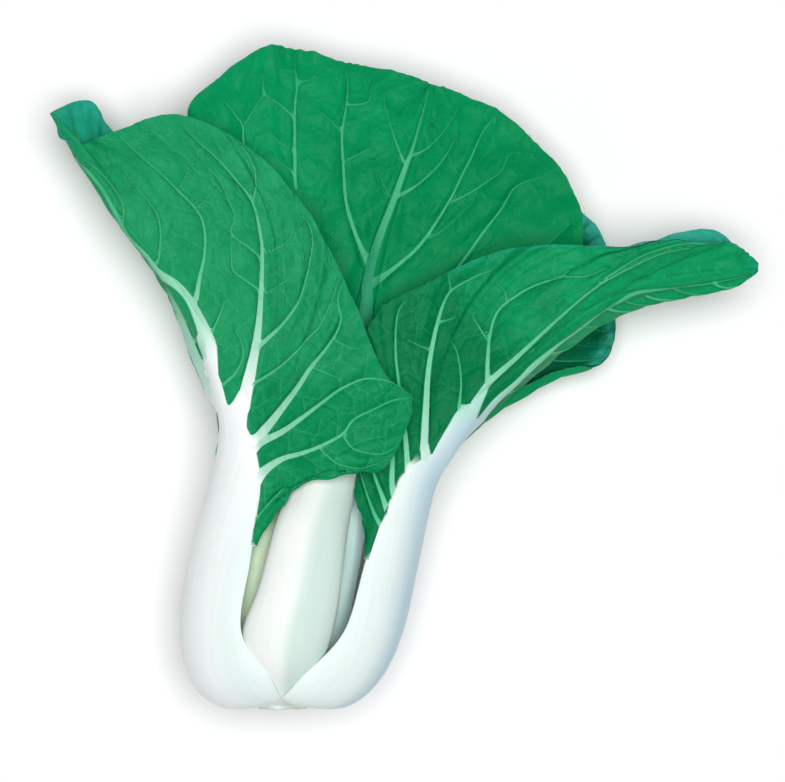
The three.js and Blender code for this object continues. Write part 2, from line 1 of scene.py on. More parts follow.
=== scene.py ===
"""Bok choy head, cut and lying on its back, with its leaves spread.

Each leaf is one curved sheet on a grid. Rows run across the leaf from its base to its tip. Columns
run from the left margin over the stalk to the right margin. The sheet is split into a stalk piece
and a blade piece, each with its own material slot. Lengths inside the script are in millimetres.
"""

import json
import math

import bpy
import numpy as np
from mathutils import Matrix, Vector
from mathutils.kdtree import KDTree

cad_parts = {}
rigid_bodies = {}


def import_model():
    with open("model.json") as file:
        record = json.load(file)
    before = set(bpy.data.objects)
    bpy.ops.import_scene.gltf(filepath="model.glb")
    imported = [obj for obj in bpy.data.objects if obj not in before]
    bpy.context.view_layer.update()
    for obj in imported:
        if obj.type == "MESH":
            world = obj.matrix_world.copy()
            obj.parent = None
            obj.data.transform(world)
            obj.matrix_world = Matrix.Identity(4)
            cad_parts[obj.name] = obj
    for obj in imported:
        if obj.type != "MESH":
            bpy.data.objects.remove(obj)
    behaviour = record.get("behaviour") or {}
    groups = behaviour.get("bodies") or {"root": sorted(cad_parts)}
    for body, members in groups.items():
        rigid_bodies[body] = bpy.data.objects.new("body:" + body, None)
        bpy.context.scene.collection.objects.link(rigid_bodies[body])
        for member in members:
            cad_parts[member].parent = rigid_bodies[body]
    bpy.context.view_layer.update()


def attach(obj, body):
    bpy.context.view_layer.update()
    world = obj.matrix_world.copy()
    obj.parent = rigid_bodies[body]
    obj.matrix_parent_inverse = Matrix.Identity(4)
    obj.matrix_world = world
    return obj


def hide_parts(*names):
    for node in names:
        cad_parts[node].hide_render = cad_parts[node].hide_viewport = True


bl_info = {
    "name": "Bok Choy Head",
    "version": (1, 0, 0),
    "blender": (4, 5, 0),
    "location": "View3D > Sidebar > Bok Choy",
    "description": "A whole head of bok choy on a plain pale floor",
    "category": "Add Mesh",
}

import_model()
MM = 0.001

# The head lies round one axis, parallel to Y, through its cut stem
AXIS_X = -49
AXIS_Z = 44

# Camera over the head: it looks straight down, with the leaves' tips up in the picture
CAMERA_X = -5
CAMERA_Y = -4.8
CAMERA_Z = 1794
CAMERA_LENS = 200
PICTURE_Z = 50          # height at which the picture's millimetres were read

# Shares of a leaf's length
STALK_END = 0.89        # the stalk piece stops here and the blade piece closes over its end
UPRIGHT_UNTIL = 0.3     # below this the stalk's sections stay square to the head's axis
LEANING_FROM = 0.55     # above this they are square to the stalk itself
RUN_STEP = 0.25         # rows either side of a place that give the stalk's direction

# Stalk stations from base to tip: x, y, z, roll, right, left, thickness, curl.
# Roll is the way the outer face looks, in degrees from +X towards +Z.
# Right and left are the half widths, and curl is the radius of the section.
# Blade rows: place along the stalk, margin x, y, z, and how far the row bends out in x, y, z.
LEAVES = {
    "front_left": {
        "stalk": [
            (-61, -123, 49, 158, 15.5, 9.5, 10, 14), (-71, -126, 53, 158, 28, 16.7, 11, 24),
            (-79.5, -117, 57, 158, 34.5, 23.5, 11, 33), (-82.5, -99, 58, 158, 27, 27, 11, 38),
            (-79, -72, 59, 156, 25.6, 23, 11, 34), (-71.5, -44, 61, 152, 18.6, 17, 10, 26),
            (-68, -22, 62, 148, 12.5, 12.5, 9, 20), (-72, -4, 62, 146, 8, 8, 7, 14),
            (-80, 16, 60, 146, 4.5, 4.5, 5, 10), (-96, 42, 56, 148, 3, 3, 3.6, 8),
            (-115.8, 66.5, 51, 150, 2, 2, 2.6, 8), (-142, 107, 44, 150, 0.7, 0.7, 1.2, 8),
        ],
        "right": {"start": 0.388, "rows": [
            (0.397, -57, -60.8, 74, 0, 0, 1), (0.407, -52.4, -56, 75, 0, 0, 1),
            (0.418, -48.2, -48.6, 77, 0, 0, 2), (0.43, -42.4, -40.4, 80, 0, 0, 3),
            (0.45, -24, -35.6, 85, 0, 3, 5), (0.465, -7.2, -34, 86, 2, 3, 8),
            (0.48, 2.8, -9.2, 87, 0, 0, 10), (0.53, -8.4, 2.8, 86, 0, 0, 12),
            (0.55, -20.8, 31.6, 80, 4, -4, 13), (0.585, -38.8, 66.8, 73, 18, -6, 14),
            (0.61, -62, 91.6, 67, 32, -4, 13), (0.64, -90.8, 105.2, 60, 46, 0, 12),
            (0.78, -116.8, 98.4, 53, 28, 8, 8), (0.85, -130, 94, 48, 20, 8, 6),
            (0.905, -138, 96.8, 45, 10, 6, 3),
        ]},
        "left": {"start": 0.56, "rows": [
            (0.585, -73.2, -6.4, 34, -6, 0, 0), (0.62, -71.6, 7.6, 20, -18, -4, 4),
            (0.67, -70.8, 27.6, 16, -26, -8, 2), (0.73, -76, 47.6, 17, -26, -8, 0),
            (0.79, -88, 69.6, 20, -22, -10, -2), (0.85, -117, 99, 28, -14, -8, -4),
            (0.905, -128, 112.5, 33, -8, -4, -3),
        ]},
    },
    "front_centre": {
        "stalk": [
            (-49, -124, 50, 92, 6, 6, 7, 14), (-48.8, -125, 59, 92, 11.5, 12, 9, 21),
            (-47.8, -112, 74, 91, 15.5, 16.5, 10.5, 26), (-46, -98, 79.5, 90, 19.5, 19, 11, 27),
            (-42, -82, 81, 89, 17.5, 16, 11, 28), (-37, -60, 77, 88, 15, 15, 10.5, 26),
            (-31.5, -42, 70, 88, 12.5, 12.5, 9, 22), (-25, -14, 62, 88, 8, 8, 7, 18),
            (-16.5, 27, 57, 88, 3.9, 3.9, 4.6, 12), (-9, 58, 56, 88, 2.6, 2.6, 3.4, 10),
            (2, 89, 53, 88, 1.6, 1.6, 2.4, 8), (11, 118, 45, 88, 0.6, 0.6, 1.2, 8),
        ],
        "right": {"start": 0.595, "rows": [
            (0.605, -10, -20, 55, 0, 0, 2), (0.612, 6, -12, 50, 0, 0, 3), (0.62, 26, 1.6, 46, 0, 0, 4),
            (0.63, 52, 21.6, 42, 0, 0, 5), (0.645, 68, 37.6, 42, 0, 4, 6),
            (0.66, 71.6, 55.6, 42, 0, 10, 6), (0.675, 67.2, 75.6, 41, 0, 18, 6),
            (0.71, 56, 92.4, 40, 4, 6, 6), (0.765, 40, 106.4, 40, 7, -8, 5),
            (0.85, 26, 113.6, 41, 4, -6, 4), (0.905, 18, 116.4, 43, 0, -2, 2),
        ]},
        "left": {"start": 0.56, "rows": [
            (0.575, -48, -20.4, 54, 0, 0, 2), (0.585, -62, 3.6, 48, 0, 0, 3),
            (0.595, -76, 31.6, 44, 0, 0, 4), (0.605, -86, 63.6, 42, -4, 2, 5),
            (0.615, -88.4, 91.6, 42, -10, 4, 6), (0.63, -86, 109.6, 42, -16, 8, 6),
            (0.66, -74.8, 121.6, 42, -22, 14, 6), (0.68, -57.2, 132.4, 41, -22, 10, 6),
            (0.71, -43.6, 132.8, 40, -22, 3, 6), (0.785, -24.4, 128, 40, -12, 6, 5),
            (0.85, -6, 124.4, 42, -6, 2, 4), (0.905, 4.5, 121.5, 43.5, -2, 0, 2),
        ]},
    },
    "front_right": {
        "stalk": [
            (-36.8, -123, 48.4, 20, 9, 15.5, 10, 14), (-26.4, -126, 52.2, 20, 16.2, 29, 11, 24),
            (-15.5, -117, 55, 20, 23, 34, 11, 33), (-7.5, -99, 57, 20, 26.5, 26, 11, 38),
            (-1.5, -72, 58, 22, 23, 22, 11, 34), (3.2, -52, 60, 25, 18, 17, 10, 28),
            (8, -38, 61, 28, 13, 13, 9, 22), (15.5, -27.5, 62, 32, 9, 9, 7.5, 16),
            (25, -15, 62.5, 32, 6, 6, 6, 12), (46.4, 3.2, 62, 32, 4, 4, 4.4, 10),
            (75, 27, 60, 32, 3, 3, 3.4, 8), (100, 36, 57, 32, 2, 2, 2.4, 8),
            (141, 43, 50, 32, 0.7, 0.7, 1.2, 8),
        ],
        "right": {"start": 0.54, "rows": [
            (0.57, 18, -24.4, 40, 1, -3, 0), (0.65, 34, 3.6, 28, 8, -13, 0),
            (0.72, 50, 19.6, 24, 10, -14, 0), (0.78, 68, 35.6, 26, 12, -16, 0),
            (0.85, 98.8, 54.4, 36, 14, -23, 0), (0.905, 123, 60.5, 40, 12, -25, 0),
            (0.96, 135, 50, 45, 5, -16, 0),
        ]},
        "left": {"start": 0.335, "rows": [
            (0.355, -16.4, -57.6, 73, 0, 0, 0), (0.375, -18.8, -50.4, 71, 0, 0, 0),
            (0.4, -19.6, -38.4, 70, 0, 0, 1), (0.445, -16.5, -20.4, 70, 0, 0, 2),
            (0.47, -19, -0.4, 71, 0, 0, 4), (0.517, -11.6, 24.4, 72, -2, 0, 6),
            (0.545, -1.2, 32.8, 73, -6, 0, 7), (0.58, 29.2, 47.6, 76, -13.6, 0, 8),
            (0.62, 54, 52.8, 75, -20, 15, 8), (0.635, 81.2, 52.4, 72, -24, 23, 8),
            (0.66, 114, 55.2, 64, 0, 22, 6), (0.8, 126.8, 55.2, 58, 4, 8, 4),
            (0.85, 133.2, 52.8, 56, 4, 6, 2), (0.905, 138, 49.2, 53, 2, 2, 1),
            (0.96, 141.6, 46, 51, 1, 1, 0),
        ]},
    },
    "back_right": {
        "stalk": [
            (-41.5, -122, 33.4, 305, 7.4, 7.2, 10, 14), (-35.5, -125, 24.5, 305, 13.2, 12.6, 11, 24),
            (-28, -117, 14, 305, 19, 19, 11, 33), (-24, -99, 7.6, 305, 21.8, 21.8, 11, 38),
            (-20, -72, 7.4, 303, 20, 20, 10, 36), (-10, -45, 9, 300, 14, 14, 8, 30),
            (6, -20, 11, 298, 9, 9, 6.5, 24), (26, 3, 11, 296, 5.5, 5.5, 5, 16),
            (48, 22, 9, 294, 3.6, 3.6, 3.6, 12), (68, 37, 6, 292, 2.4, 2.4, 2.6, 10),
            (84, 49, 0.3, 290, 0.7, 0.7, 1.2, 8),
        ],
        "right": {"start": 0.5, "rows": [
            (0.53, -22, -20, 12, 0, 0, 0), (0.57, -22, 7.6, 12, 0, 0, -1),
            (0.62, -10, 39.6, 13, -4, 4, -2), (0.68, 14, 63.6, 14, -6, 8, -2),
            (0.76, 46, 75.6, 18, -4, 6, -3), (0.85, 69.2, 69.6, 17, 0, 4, -2),
            (0.905, 80.4, 58.8, 12, 0, 2, -1),
        ]},
        "left": {"start": 0.5, "rows": [
            (0.53, 10.8, -36.4, 20, 2, -2, -2), (0.57, 26, -21.2, 24, 4, -6, -4),
            (0.62, 38, -8.4, 26, 6, -10, -4), (0.68, 59.2, 2, 26, 8, -12, -4),
            (0.76, 77.2, 7.2, 25, 8, -10, -4), (0.85, 84.8, 13.6, 23, 6, -6, -4),
            (0.905, 84.6, 30, 15, 2, -2, -4),
        ]},
    },
    "back_left": {
        "stalk": [
            (-56.5, -122, 33.4, 235, 8, 7.4, 10, 14), (-62.5, -125, 24.5, 235, 13.2, 13.2, 11, 24),
            (-66, -117, 14, 235, 19, 19, 11, 33), (-68, -99, 7.6, 235, 21.8, 21.8, 11, 38),
            (-67, -72, 7.4, 237, 20, 20, 10, 36), (-64, -45, 8.3, 240, 14, 14, 8, 30),
            (-62, -18, 8, 244, 9, 9, 6.5, 24), (-64, 12, 6, 248, 5.5, 5.5, 5, 16),
            (-67, 42, 5, 250, 3.6, 3.6, 3.6, 12), (-66, 75, 4, 250, 2.4, 2.4, 2.6, 10),
            (-60, 116, 0.3, 250, 0.7, 0.7, 1.2, 8),
        ],
        "right": {"start": 0.47, "rows": [
            (0.5, -75, -16, 10, 0, 0, 0), (0.56, -80, 1.6, 9, 0, 0, 0), (0.63, -88, 23.6, 9, -2, 4, -1),
            (0.7, -96, 45.6, 9, -2, 6, -1), (0.78, -98.8, 69.6, 9, -2, 8, -1),
            (0.85, -93.2, 91.6, 9, 0, 6, -1), (0.905, -78.8, 109.6, 7, 0, 2, -1),
        ]},
        "left": {"start": 0.47, "rows": [
            (0.5, -45, -36, 7, 0, 0, 0), (0.56, -41, -10, 8, 0, 0, 0), (0.63, -38, 21.6, 9, 2, 4, -1),
            (0.7, -34, 47.6, 9, 2, 6, -1), (0.78, -34.8, 73.6, 9, 2, 8, -1),
            (0.85, -40, 95.6, 9, 0, 6, -1), (0.905, -48, 111.6, 7, 0, 2, -1),
        ]},
    },
    "inner_back": {
        "stalk": [
            (-46, -111, 31.5, 270, 8, 8, 8, 12), (-46, -112.5, 26, 270, 12, 12, 9, 16),
            (-46, -104, 21, 270, 16, 16, 9, 22), (-45, -86, 18.5, 270, 16, 16, 9, 25),
            (-42, -60, 18, 270, 13.5, 13.5, 8, 24), (-37, -34, 18.5, 270, 9.5, 9.5, 6.5, 22),
            (-31, -8, 19.5, 270, 6, 6, 5, 16), (-25, 20, 21, 270, 4, 4, 4, 12),
            (-20, 50, 22, 270, 2.8, 2.8, 3, 10), (-16, 80, 22, 270, 1.6, 1.6, 2.2, 8),
            (-14, 106, 20, 270, 0.6, 0.6, 1.2, 8),
        ],
        "right": {"start": 0.44, "rows": [
            (0.47, -50, -28, 20, 0, 0, 0), (0.53, -54, -2, 23, 0, 0, 0), (0.6, -60, 22, 26, 0, 4, 0),
            (0.68, -60, 48, 27, 0, 6, 0), (0.76, -54, 72, 27, 0, 8, 0), (0.85, -42, 94, 25, 0, 6, 0),
            (0.905, -30, 104, 23, 0, 2, 0),
        ]},
        "left": {"start": 0.44, "rows": [
            (0.47, -22, -32, 20, 0, 0, 0), (0.53, -11, -12, 23, 0, 0, 0), (0.6, 2, 12, 26, 0, 4, 0),
            (0.68, 12, 38, 27, 0, 6, 0), (0.76, 14, 64, 27, 0, 8, 0), (0.85, 8, 88, 25, 0, 6, 0),
            (0.905, -2, 100, 23, 0, 2, 0),
        ]},
    },
    "inner_left": {
        "stalk": [
            (-58.5, -110.5, 49.5, 150, 4, 8, 7, 11), (-62.5, -111.5, 52.5, 150, 7, 12, 8, 15),
            (-66, -104, 56, 145, 11, 14, 8.5, 20), (-66, -86, 59, 138, 13, 14, 8.5, 24),
            (-62.5, -62, 60, 130, 13, 13, 7.5, 24), (-55, -40, 54, 120, 9, 9, 6, 20),
            (-50, -20, 46, 110, 5, 5, 4.5, 15), (-46, 2, 41, 100, 3, 3, 3.2, 10),
            (-42, 24, 38, 95, 1.8, 1.8, 2.2, 8), (-40, 40, 36, 92, 0.6, 0.6, 1.2, 8),
        ],
        "right": {"start": 0.5, "rows": [
            (0.55, -44, -38, 52, 0, 0, 0), (0.62, -37, -24, 47, 0, 0, 1), (0.7, -33, -8, 43, 0, 2, 1),
            (0.78, -31, 8, 41, 0, 2, 1), (0.85, -32, 20, 39, 0, 2, 1), (0.905, -35, 31, 37.5, 0, 0, 0),
        ]},
        "left": {"start": 0.5, "rows": [
            (0.55, -67, -36, 47, 0, 0, 0), (0.62, -66, -17, 45, 0, 0, 1), (0.7, -63, 0, 42.5, 0, 2, 1),
            (0.78, -60, 14, 40, 0, 2, 1), (0.85, -55, 25, 38.5, 0, 2, 1), (0.905, -48, 34, 37, 0, 0, 0),
        ]},
    },
    "inner_right": {
        "stalk": [
            (-39.5, -110.5, 49.5, 30, 8, 4, 7, 11), (-35.5, -111.5, 52.5, 30, 12, 7, 8, 15),
            (-31, -104, 56, 35, 14, 11, 8.5, 20), (-28, -86, 59, 42, 14, 13, 8.5, 24),
            (-24, -60, 60, 50, 13, 13, 7.5, 24), (-20, -38, 54, 58, 9, 9, 6, 20),
            (-14, -18, 46, 66, 5, 5, 4.5, 15), (-7, 4, 41, 75, 3, 3, 3.2, 10),
            (0, 26, 38, 82, 1.8, 1.8, 2.2, 8), (5, 46, 36, 85, 0.6, 0.6, 1.2, 8),
        ],
        "right": {"start": 0.5, "rows": [
            (0.55, -7, -41, 47, 0, 0, 0), (0.62, -5, -26, 44, 0, 0, 1), (0.7, 2, -8, 41, 0, 2, 1),
            (0.78, 8, 10, 39.5, 0, 2, 1), (0.85, 11, 24, 38.5, 0, 2, 1), (0.905, 10, 36, 37.5, 0, 0, 0),
        ]},
        "left": {"start": 0.5, "rows": [
            (0.55, -28, -30, 52, 0, 0, 0), (0.62, -26, -14, 47, 0, 0, 1), (0.7, -22, 4, 43, 0, 2, 1),
            (0.78, -17, 20, 41, 0, 2, 1), (0.85, -12, 32, 39, 0, 2, 1), (0.905, -4, 41, 37.5, 0, 0, 0),
        ]},
    },
    "heart_left": {
        "stalk": [
            (-50, -108, 44, 180, 5, 5, 4, 7), (-53, -100, 44, 180, 7, 7, 5, 9),
            (-54.5, -84, 44, 180, 7, 7, 5, 10), (-53, -66, 43.5, 180, 5, 5, 4, 9),
            (-50, -52, 42, 185, 2.5, 2.5, 3, 8), (-48, -36, 40, 190, 0.6, 0.6, 1.2, 8),
        ],
        "right": {"start": 0.5, "rows": [
            (0.56, -51, -66, 50, 0, 0, 0), (0.68, -50, -56, 52, 0, 0, 0), (0.78, -49.5, -48, 51, 0, 0, 0),
            (0.85, -49, -43, 48, 0, 0, 0), (0.905, -48.5, -39, 44, 0, 0, 0),
        ]},
        "left": {"start": 0.5, "rows": [
            (0.56, -51, -66, 37, 0, 0, 0), (0.68, -50, -56, 34, 0, 0, 0), (0.78, -49.5, -48, 34, 0, 0, 0),
            (0.85, -49, -43, 35, 0, 0, 0), (0.905, -48.5, -39, 37, 0, 0, 0),
        ]},
    },
    "heart_right": {
        "stalk": [
            (-42, -108, 44, 0, 5, 5, 4, 7), (-39, -100, 44, 0, 7, 7, 5, 9),
            (-37.5, -84, 44, 0, 7, 7, 5, 10), (-38, -66, 43.5, 0, 5, 5, 4, 9),
            (-40, -52, 42, -5, 2.5, 2.5, 3, 8), (-42, -38, 40, -10, 0.6, 0.6, 1.2, 8),
        ],
        "right": {"start": 0.5, "rows": [
            (0.56, -40, -66, 37, 0, 0, 0), (0.68, -40.5, -57, 34, 0, 0, 0), (0.78, -41, -50, 34, 0, 0, 0),
            (0.85, -41, -45, 35, 0, 0, 0), (0.905, -41.5, -41, 37, 0, 0, 0),
        ]},
        "left": {"start": 0.5, "rows": [
            (0.56, -40, -66, 50, 0, 0, 0), (0.68, -40.5, -57, 52, 0, 0, 0), (0.78, -41, -50, 51, 0, 0, 0),
            (0.85, -41, -45, 48, 0, 0, 0), (0.905, -41.5, -41, 44, 0, 0, 0),
        ]},
    },
}

# Side veins of the three front leaves as the camera sees them, from the stalk outwards:
# x, y and the vein's width
FRONT_VEINS = {
    "front_left": [
        [(-76, 2.8, 6.5), (-77.6, 14.8, 4.4), (-84, 29.2, 2.9), (-89.6, 36.8, 2.5), (-97.6, 43.4, 2.3),
         (-102.8, 50, 1.8), (-109.6, 57.4, 1.4), (-114.8, 66, 1.2), (-120.6, 76, 1.1),
         (-127.6, 84.6, 0.9), (-135.6, 92, 0.7)],
        [(-67.6, -24.4, 10), (-66, -14.4, 8), (-63.6, -7.6, 5.5), (-59.2, 13.6, 3.5), (-57.6, 29.2, 2.3),
         (-56.8, 49.6, 1.7), (-57.6, 59.2, 1.5), (-60.4, 70.8, 1.2), (-66.4, 78.8, 1), (-75.2, 88.4, 0.8),
         (-84, 96, 0.6), (-89.6, 102, 0.4)],
        [(-83.2, 32, 2.2), (-82, 40, 1.6), (-80, 49.6, 1.3), (-80, 59.2, 1.1), (-82.8, 67.2, 0.9),
         (-90.8, 75.6, 0.8), (-97.6, 82.4, 0.7), (-106, 89.6, 0.6), (-114, 97.2, 0.4)],
        [(-83.2, 68, 0.7), (-79.2, 72.8, 0.6), (-76, 76.8, 0.4)],
        [(-90, 75.6, 0.6), (-87.6, 82.4, 0.6), (-85.6, 86.4, 0.5), (-82.8, 90.4, 0.5), (-87.6, 96, 0.4)],
        [(-98.4, 46.8, 1), (-97.6, 55.2, 0.8), (-98.4, 64, 0.7), (-102.4, 70.8, 0.6), (-108, 77.6, 0.5),
         (-113.2, 84.4, 0.4)],
        [(-112.8, 60.4, 0.8), (-112.4, 68.8, 0.7), (-116.8, 76.8, 0.6), (-122.8, 83.6, 0.5),
         (-128.4, 88.4, 0.4)],
        [(-77.6, 17.2, 1.3), (-75.2, 22.4, 0.9), (-72.8, 28.4, 0.7), (-72, 31.6, 0.5)],
        [(-70.8, -2, 1.2), (-66.4, 4, 0.9), (-64.4, 10, 0.8), (-65.6, 15.6, 0.6), (-68, 19.6, 0.5)],
        [(-58, 48.8, 0.9), (-63.6, 53.6, 0.8), (-68.4, 56.8, 0.7), (-69.6, 59.2, 0.7), (-68, 65.2, 0.6),
         (-70.4, 70.8, 0.6), (-74, 79.6, 0.5), (-79.6, 85.2, 0.4)],
        [(-58.8, 36, 0.9), (-64.4, 40, 0.8), (-68.8, 43.6, 0.7), (-69.2, 49.6, 0.6), (-69.6, 55.6, 0.4)],
        [(-60, 72, 0.9), (-59.2, 77.6, 0.8), (-59.6, 83.6, 0.7), (-62.4, 89.2, 0.6), (-66, 94, 0.4)],
        [(-56.4, 50, 0.9), (-50, 52.8, 0.8), (-46, 56.4, 0.6), (-44, 61.2, 0.5)],
        [(-56.4, 34, 0.7), (-50.8, 36.8, 0.6), (-46, 40.8, 0.5)],
        [(-58.4, 12.8, 2.2), (-50.8, 19.6, 1.5), (-45.2, 26.4, 1.2), (-41.2, 34, 1), (-38.4, 44.8, 0.8),
         (-36.8, 55.2, 0.7), (-39.2, 63.2, 0.6), (-43.2, 66, 0.4)],
        [(-60.4, -2, 1.5), (-52, 3.2, 1.1), (-45.2, 8.8, 0.9), (-39.2, 15.6, 0.8), (-34.4, 20.4, 0.7),
         (-30.4, 28.4, 0.6), (-28.4, 34, 0.5), (-26.8, 39.6, 0.4)],
        [(-61.2, -27.6, 6.5), (-57.6, -23.2, 4.2), (-50, -13.6, 2.8), (-42, -2.8, 2.1), (-37.2, 4.8, 1.8),
         (-31.6, 11.6, 1.4), (-27.2, 18.4, 1.1), (-25.6, 24.4, 0.9), (-26.8, 31.2, 0.7), (-25.2, 38, 0.5)],
        [(-28, 15.6, 0.7), (-22.8, 12.8, 0.6), (-18.8, 12.4, 0.4)],
        [(-36.4, 4.4, 0.7), (-30.8, 2, 0.6), (-26.8, 0.4, 0.4)],
        [(-61.2, -28.4, 5.5), (-56.8, -25.2, 3.4), (-48.8, -21.2, 2.4), (-40.4, -15.2, 1.8),
         (-31.6, -8.4, 1.4), (-24.8, -3.6, 1.2), (-16, 0, 0.9), (-6.4, -0.8, 0.6), (-1.2, -3.6, 0.4)],
        [(-61.2, -42.8, 7), (-55.6, -36.8, 3.6), (-48.8, -32, 2.4), (-42, -30, 2), (-34.4, -27.2, 1.6),
         (-24.8, -22, 1.3), (-20.8, -16.4, 1), (-13.2, -12.4, 0.8), (-4.4, -8.4, 0.7), (1.6, -7.6, 0.4)],
        [(-24.4, -22.8, 0.9), (-22, -26.4, 0.8), (-18.8, -28.8, 0.7), (-9.2, -30, 0.6), (-2.4, -26, 0.4)],
        [(-33.6, -28, 0.8), (-29.6, -32, 0.7), (-25.6, -34.4, 0.6), (-16.8, -35.6, 0.5), (-6.4, -32, 0.4)],
        [(-59, -56.4, 1), (-55.6, -52, 0.8), (-51.6, -47.2, 0.7), (-47.6, -43.6, 0.5)],
    ],
    "front_centre": [
        [(-16, 24.4, 5.6), (-15.2, 31.6, 4.6), (-15, 39.2, 4.2), (-13.4, 46.8, 4), (-9.6, 58.4, 2.9),
         (-5.4, 69.2, 2.4), (0, 84.2, 1.9), (3.2, 92.8, 1.1), (6.8, 105.6, 0.8), (9.6, 116.4, 0.5)],
        [(-14, 45.2, 3.2), (-18.2, 54.2, 2), (-21.4, 62.8, 1.7), (-23.6, 71.3, 1.5), (-24.6, 84.2, 1.3),
         (-25.2, 98.1, 1.2), (-23.6, 108.8, 0.9), (-23, 119.6, 0.6), (-24.6, 127, 0.4)],
        [(-24.8, 98, 0.8), (-30, 103.6, 0.6), (-34.4, 107.6, 0.4)],
        [(-23.6, 110, 0.9), (-17.2, 110, 0.8), (-14, 112, 0.6), (-13.4, 118.4, 0.4)],
        [(-23.6, 87.4, 0.8), (-17.2, 90.6, 0.6), (-10.8, 93.8, 0.4)],
        [(-43.4, 75.6, 1.2), (-44, 80, 1.5), (-44, 87.4, 1.5), (-44.1, 99.2, 1.3),
         (-44, 108.8, 1.1), (-43.1, 118, 0.9), (-44, 123.8, 0.6), (-44.4, 129.2, 0.4)],
        [(-43.2, 118.4, 0.7), (-47.2, 121.6, 0.5), (-49.2, 123.8, 0.4)],
        [(-42.8, 118.4, 0.8), (-37.6, 120, 0.6), (-34.4, 123.8, 0.4)],
        [(-44.4, 104.5, 1), (-50.4, 110, 0.8), (-56.2, 113.6, 0.8), (-56.8, 122.8, 0.4)],
        [(-57.2, 80.4, 1.3), (-62.8, 89.6, 1.2), (-64.8, 95.6, 1.1), (-64.8, 101.2, 0.9),
         (-69.6, 107.6, 0.7), (-74, 113.2, 0.4)],
        [(-64.4, 101.2, 0.8), (-60.4, 107.6, 0.7), (-56.2, 113.6, 0.6)],
        [(-44, 91.2, 0.8), (-50.4, 94.8, 0.6), (-55.6, 100.4, 0.4)],
        [(-44, 82, 0.7), (-50.4, 87.4, 0.5), (-54.8, 90.6, 0.4)],
        [(-13.6, 38, 3.6), (-4.4, 44.4, 1.9), (6.4, 54.2, 1.5), (17.2, 70.4, 1.2), (22.4, 81, 1),
         (26.8, 89.6, 0.9), (31.1, 99.2, 0.7), (36.4, 105.6, 0.4)],
        [(18.2, 70.4, 0.9), (27.9, 75.6, 0.8), (38.6, 83.2, 0.6), (42.8, 90.6, 0.5), (53.6, 90, 0.4)],
        [(6.4, 54.8, 0.8), (15, 59.6, 0.6), (27.9, 71.3, 0.4)],
        [(31.1, 99.2, 0.7), (35.4, 102.4, 0.6), (42.8, 102.4, 0.4)],
        [(-3.2, 72.8, 1.6), (6.4, 78.8, 1), (15, 87.4, 0.8), (21.4, 98.1, 0.4)],
        [(2.8, 89.2, 1.2), (9.6, 92.8, 0.8), (17.2, 101.3, 0.6), (22, 110, 0.4)],
        [(-0.4, 86.4, 1.3), (-4.4, 97, 0.8), (-7.6, 107.8, 0.6), (-8.6, 114.2, 0.4)],
        [(-6, 72.4, 0.7), (-9.6, 80, 0.5), (-10.8, 85.2, 0.4)],
        [(16.4, 38.8, 1.3), (23.6, 47.7, 1.2), (31.1, 58.4, 1.1), (38.6, 68.1, 0.9), (44, 76.8, 0.7),
         (53.6, 80.4, 0.5), (60.4, 81.2, 0.4)],
        [(6, 19.6, 1.2), (26, 31.6, 1.1), (42, 43.6, 0.9), (56, 53.2, 0.7), (65.2, 61.6, 0.4)],
    ],
    "front_right": [
        [(16.4, -33.2, 9), (23.4, -23, 5.5), (28.8, -15.4, 4), (35.4, -7.6, 3.2), (44.2, 0, 2.6),
         (50.8, 6.6, 2.2), (61.6, 15.3, 1.8), (69.4, 20.8, 1.6), (78.2, 27.4, 1.3), (89.2, 34, 1.1),
         (99, 36.2, 0.9), (116.6, 37.8, 0.7), (127.6, 39.6, 0.5), (138, 42, 0.4)],
        [(14, -29.2, 8), (20.4, -20.4, 5.2), (24.4, -14.4, 3.6), (33.2, -1.2, 2.5), (44.2, 8.8, 1.8),
         (57.2, 20.8, 1.4), (68.4, 30.8, 1.1), (78.2, 38.4, 0.9), (88, 44, 0.8), (101.2, 50.4, 0.6),
         (114, 53.6, 0.4)],
        [(6, -39.6, 6), (6.8, -31.8, 3.6), (8, -13.2, 2.5), (9.1, 2.2, 2), (11.8, 17.6, 1.7),
         (15.2, 29.6, 1.3), (18.4, 35.2, 1), (25.6, 39.6, 0.8), (35.4, 44, 0.4)],
        [(18.4, 35.2, 0.8), (17.2, 41.2, 0.4)],
        [(13.5, 22.4, 0.8), (20, 24.8, 0.4)],
        [(10, 11.6, 0.8), (6, 13.2, 0.6), (1.2, 15.6, 0.4)],
        [(32.7, -1.6, 2.2), (33, 8.8, 1.6), (33.8, 17.6, 1.3), (36.4, 26.4, 1.1), (42, 31.8, 1),
         (50.8, 37.2, 0.9), (61.6, 40.6, 0.7), (72.8, 41.2, 0.6), (81.6, 45, 0.4)],
        [(32.8, 15.6, 0.8), (28.8, 22, 0.7), (26.6, 25.8, 0.4)],
        [(40.4, 30.4, 0.8), (39.8, 35.2, 0.6), (36.4, 38.4, 0.4)],
        [(61.6, 40.8, 0.7), (66, 44, 0.4)],
        [(1.2, -44.4, 4), (0.4, -32.8, 2.3), (-0.2, -22, 1.9), (-2, -8.4, 1.5), (-2.4, -2.2, 1.3),
         (-3.6, 8.8, 1.1), (-3.6, 19.7, 0.9), (-2.4, 27.4, 0.7), (0.4, 30.8, 0.4)],
        [(-4.4, -49.6, 3), (-5.7, -41.6, 2.1), (-5.2, -29.6, 1.6), (-6, -20.4, 1.2), (-8, -8.4, 0.8),
         (-9.2, -0.4, 0.5)],
        [(-7.6, -53.2, 2.4), (-9.6, -46, 1.5), (-12.4, -37.2, 1.1), (-14.4, -28.4, 0.8),
         (-14.8, -20.4, 0.5)],
